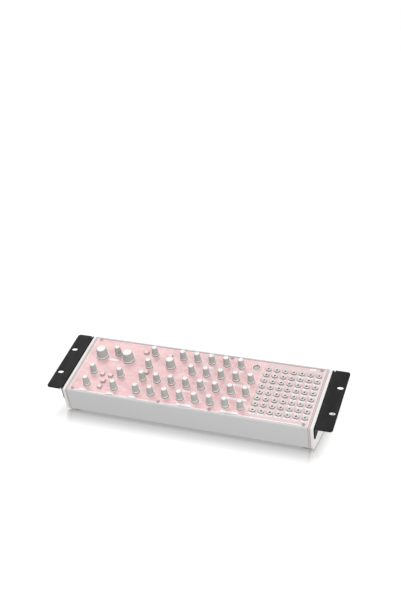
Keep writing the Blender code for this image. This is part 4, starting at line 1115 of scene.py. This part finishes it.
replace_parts(add_piece("power_rocker_cap", rocker, [black_moulding], rocker_axes,
                      "power_rocker_body"), "power_rocker")
rocker_top = rocker_axes @ Matrix.Rotation(-ROCKER_TILT, 4, "X") @ Matrix.Translation((0, ROCKER_FACE, 0))
line_mark = block(oblong(0, 0, 2 * MARK_LINE, 2 * MARK_RING), -INK, INK, ALONG_Y)
ring_mark = ink_ring(bmesh.new(), MARK_RING - MARK_LINE, MARK_RING)
ring_mark.transform(ALONG_Y)
for name, side, mark in (("line", 1, line_mark), ("ring", -1, ring_mark)):
    half_top = Matrix.Rotation(side * ROCKER_TILT, 4, "X") @ Matrix.Translation((0, 0, side * MARK_SPOT))
    add_piece("power_rocker_" + name, mark, [ink_finish], rocker_top @ half_top,
              "power_rocker_body")

# Rack ears. Each is a 2 mm steel plate in the panel's plane, bent down against the cheek, with two
# rack slots, and powder coated black. Two button-head screws hold it to the case.
EAR_THICKNESS = 0.0020
EAR_BEND = 0.0024
EAR_CORNER = 0.0045
EAR_CORNER_STEPS = 10
SLOT_LENGTH = 0.0103
SLOT_WIDTH = 0.0069
SLOT_STEPS = 14
SLOT_INSET = 0.00875
SLOT_SPACING_Y = 0.05715
RELIEF_WIDTH = 0.0020
RELIEF_LENGTH = 0.0030
EAR_SCREW_SPACING = 0.0800
EAR_SCREW_DROP = 0.0135
EAR_SCREW_RADIUS = 0.0021
EAR_SCREW_HEAD = 0.0034
EAR_SCREW_HEIGHT = 0.0017
EAR_SCREW_EDGE = 0.00119
EAR_EDGE = 0.00025
EAR_FLAT_SHARE = 0.9
COAT_BLACK = (0.010, 0.010, 0.0103)
# A deeper black with less sheen for the same coat on the edges and flange: painted shade.
EDGE_SHADE_BLACK = (0.004, 0.004, 0.004)
SCREW_BLACK = (0.03, 0.03, 0.03)

coat_relief = {"grain": (0.0006, 0.00006, 0.6), "gloss": (0.02, 0.5, 0.62)}
ear_finish = new_finish("black powder coat", COAT_BLACK, 0.55, specular=0.15, **coat_relief)
ear_edge_shade_finish = new_finish("black powder coat with painted shade on the edges", EDGE_SHADE_BLACK, 0.6, specular=0.12,
                             **coat_relief)
ear_screw_finish = new_finish("black ear screw", SCREW_BLACK, 0.35, 0.6, gloss=(0.002, 0.3, 0.45))


def stadium(x, y):
    """The outline of a rack slot with round ends, long in X."""
    radius = SLOT_WIDTH / 2
    reach = SLOT_LENGTH / 2 - radius
    points = []
    for side in (1, -1):
        for i in range(SLOT_STEPS + 1):
            angle = -side * math.pi / 2 + math.pi * i / SLOT_STEPS
            points.append((x + side * reach + radius * math.cos(angle), y + radius * math.sin(angle)))
    return points


for side, word in ((-1, "left"), (1, "right")):
    low, high = deck_box(word + "_rack_ear")
    outer = max(abs(low.x), abs(high.x))
    inner = min(abs(low.x), abs(high.x))
    drop = high.z - low.z
    reach = high.y
    below = -EAR_THICKNESS - OVERRUN
    start, end = (outer, 0), (inner, -drop)
    path = [start, *fillet(start, (inner, 0), end, EAR_BEND, BEND_STEPS), end]
    section = [(side * x, z) for x, z in folded(path, EAR_THICKNESS)]
    screw_spots = [Vector((side * inner, end * EAR_SCREW_SPACING / 2, -EAR_SCREW_DROP)) for end in (-1, 1)]
    cuts = bmesh.new()
    for end, spot in zip((-1, 1), screw_spots):
        prism(cuts, stadium(side * (outer - SLOT_INSET), end * SLOT_SPACING_Y / 2), below, OVERRUN)
        tip = (side * outer, end * reach)
        along = (side * (outer - EAR_CORNER), end * reach)
        away = (side * outer, end * (reach - EAR_CORNER))
        beyond_x, beyond_y = side * (outer + OVERRUN), end * (reach + OVERRUN)
        waste = fillet(along, tip, away, EAR_CORNER, EAR_CORNER_STEPS)
        waste += [(beyond_x, away[1]), (beyond_x, beyond_y), (along[0], beyond_y)]
        prism(cuts, waste, below, OVERRUN)
        near, far = side * (inner + EAR_BEND), side * (inner + EAR_BEND + RELIEF_WIDTH)
        stop = end * (reach - RELIEF_LENGTH)
        prism(cuts, [(near, stop), (far, stop), (far, beyond_y), (near, beyond_y)], below, OVERRUN)
        prism(cuts, circle(EAR_SCREW_RADIUS, spot.y, spot.z), spot.x - side * OVERRUN,
              spot.x + side * (EAR_THICKNESS + OVERRUN), ALONG_X)
    ear = soften(carve(block(section, -reach, reach, ALONG_Y), cuts), EAR_EDGE)
    ear.normal_update()
    # Faces that don't look up take the deeper black: painted shade on the edges, bend and flange.
    for face in ear.faces:
        face.material_index = 0 if face.normal.z > EAR_FLAT_SHARE else 1
    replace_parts(add_piece(word + "_ear_plate", ear, [ear_finish, ear_edge_shade_finish]),
                word + "_rack_ear")

    head = cross_screw(EAR_SCREW_HEAD, EAR_SCREW_HEIGHT, EAR_SCREW_EDGE)
    on_ear = Matrix.Translation((side * EAR_THICKNESS, 0, 0)) @ Matrix.Rotation(side * math.pi / 2, 4, "Y")
    heads = copies_of(head, [Matrix.Translation(spot) @ on_ear for spot in screw_spots])
    add_piece(word + "_ear_screws", heads, [ear_screw_finish])

# Floor and backdrop. A plain white floor keeps a faint shadow, and a reflection of the case that fades
# out a few centimetres from its base. It is clear from below, so that the base can be seen.
FLOOR_SIZE = 12.0
FLOOR_WHITE = 0.92
FLOOR_LIGHT_SHARE = 0.25
FLOOR_GLOW = 1.2
FLOOR_BOUNCE = 0.70
FLOOR_ROUGHNESS = 0.06
REFLECTION_REACH = 0.055
REFLECTION_SHARE = 0.92
SIDE_FADE = 3.0
WORLD_LEVEL = 0.68

floor_mesh = bpy.data.meshes.new("floor")
floor_mesh.from_pydata([(x, y, 0) for x, y in oblong(0, 0, FLOOR_SIZE, FLOOR_SIZE)], [], [(0, 1, 2, 3)])
floor = bpy.data.objects.new("floor", floor_mesh)
bpy.context.scene.collection.objects.link(floor)
floor_finish = bpy.data.materials.new("pale floor")
floor_finish.use_nodes = True
tree = floor_finish.node_tree
tree.nodes.clear()


def worked_out(operation, *values):
    """The output of a Math node in the tree at hand."""
    return add_node(tree, "Math", dict(enumerate(values)), operation=operation).outputs[0]


def mixed(share, one, two):
    """The output of a node that mixes two shaders in the tree at hand."""
    return add_node(tree, "MixShader", {0: share, 1: one, 2: two}).outputs[0]


base_front = deck @ Vector((0, -case_reach, base_height(-case_reach)))
base_rear = deck @ Vector((0, case_reach, base_height(case_reach)))
place = add_node(tree, "SeparateXYZ", {0: add_node(tree, "TexCoord", {}).outputs["Object"]}).outputs
past_side = worked_out("SUBTRACT", worked_out("ABSOLUTE", place["X"]), cheek_inner + cheek_width)
past_side = worked_out("MULTIPLY", past_side, SIDE_FADE)
past_base = worked_out("ABSOLUTE", worked_out("SUBTRACT", place["Y"], (base_front.y + base_rear.y) / 2))
past_base = worked_out("SUBTRACT", past_base, (base_rear.y - base_front.y) / 2)
squares = [worked_out("POWER", worked_out("MAXIMUM", past, 0), 2) for past in (past_side, past_base)]
fade = add_node(tree, "MapRange", {"Value": worked_out("SQRT", worked_out("ADD", *squares)),
                                   "From Max": REFLECTION_REACH, "To Min": REFLECTION_SHARE, "To Max": 0})
diffuse = add_node(tree, "BsdfDiffuse", {"Color": (FLOOR_WHITE, FLOOR_WHITE, FLOOR_WHITE, 1)})
glossy = add_node(tree, "BsdfGlossy", {"Roughness": FLOOR_ROUGHNESS})
glow = add_node(tree, "Emission", {"Strength": FLOOR_GLOW})
bounce = add_node(tree, "Emission", {"Strength": FLOOR_BOUNCE})
rays = add_node(tree, "LightPath", {}).outputs
matte = mixed(FLOOR_LIGHT_SHARE, glow.outputs[0], diffuse.outputs[0])
seen = mixed(fade.outputs[0], matte, glossy.outputs[0])
upper = mixed(worked_out("MAXIMUM", rays["Is Camera Ray"], rays["Is Glossy Ray"]), bounce.outputs[0], seen)
clear = add_node(tree, "BsdfTransparent", {})
underside = add_node(tree, "NewGeometry", {}).outputs["Backfacing"]
add_node(tree, "OutputMaterial", {"Surface": mixed(underside, upper, clear.outputs[0])})
floor_mesh.materials.append(floor_finish)

world = bpy.data.worlds.new("studio")
bpy.context.scene.world = world
world.use_nodes = True
tree = world.node_tree
tree.nodes.clear()
even = add_node(tree, "Background", {"Color": (1, 1, 1, 1), "Strength": WORLD_LEVEL})
white = add_node(tree, "Background", {"Color": (1, 1, 1, 1)})
rays = add_node(tree, "LightPath", {}).outputs
direct = worked_out("MAXIMUM", rays["Is Camera Ray"], rays["Is Glossy Ray"])
direct = worked_out("MAXIMUM", direct, rays["Is Transmission Ray"])
add_node(tree, "OutputWorld", {"Surface": mixed(direct, even.outputs[0], white.outputs[0])})

# Lamps. A broad key high on the left and a little behind, and a softer one in front on the right.
# Both are broad squares of white light, aimed at the foot of the case.
KEY_PLACE = Vector((-0.85, 0.55, 1.9))
KEY_SIZE = 0.9
KEY_POWER = 12.5
FRONT_PLACE = Vector((1.5, -0.95, 0.7))
FRONT_SIZE = 1.0
FRONT_POWER = 10.5

for name, place, size, power in (("key", KEY_PLACE, KEY_SIZE, KEY_POWER),
                                 ("front", FRONT_PLACE, FRONT_SIZE, FRONT_POWER)):
    lamp = bpy.data.lights.new(name, "AREA")
    lamp.size = size
    lamp.energy = power
    item = bpy.data.objects.new(name, lamp)
    item.location = place
    item.rotation_euler = (-place).to_track_quat("-Z", "Y").to_euler()
    bpy.context.scene.collection.objects.link(item)

# Camera, at the photograph's viewing angle. The object lies low in an upright frame.
VIEW_AZIMUTH = math.radians(19.9)
VIEW_ELEVATION = math.radians(19.86)
VIEW_AIM = Vector((0.008, 0.0, 0.1376))
VIEW_DISTANCE = 1.548
FOCAL_PIXELS = 980
PHOTO_HEIGHT = 601

camera_data = bpy.data.cameras.new("camera")
camera_data.lens = FOCAL_PIXELS / PHOTO_HEIGHT * camera_data.sensor_width
camera = bpy.data.objects.new("camera", camera_data)
bpy.context.scene.collection.objects.link(camera)
back = Vector((math.sin(VIEW_AZIMUTH) * math.cos(VIEW_ELEVATION),
               -math.cos(VIEW_AZIMUTH) * math.cos(VIEW_ELEVATION), math.sin(VIEW_ELEVATION)))
camera.location = deck_origin + VIEW_AIM + back * VIEW_DISTANCE
camera.rotation_euler = (-back).to_track_quat("-Z", "Y").to_euler()
bpy.context.scene.camera = camera
bpy.context.scene.view_settings.view_transform = "Standard"
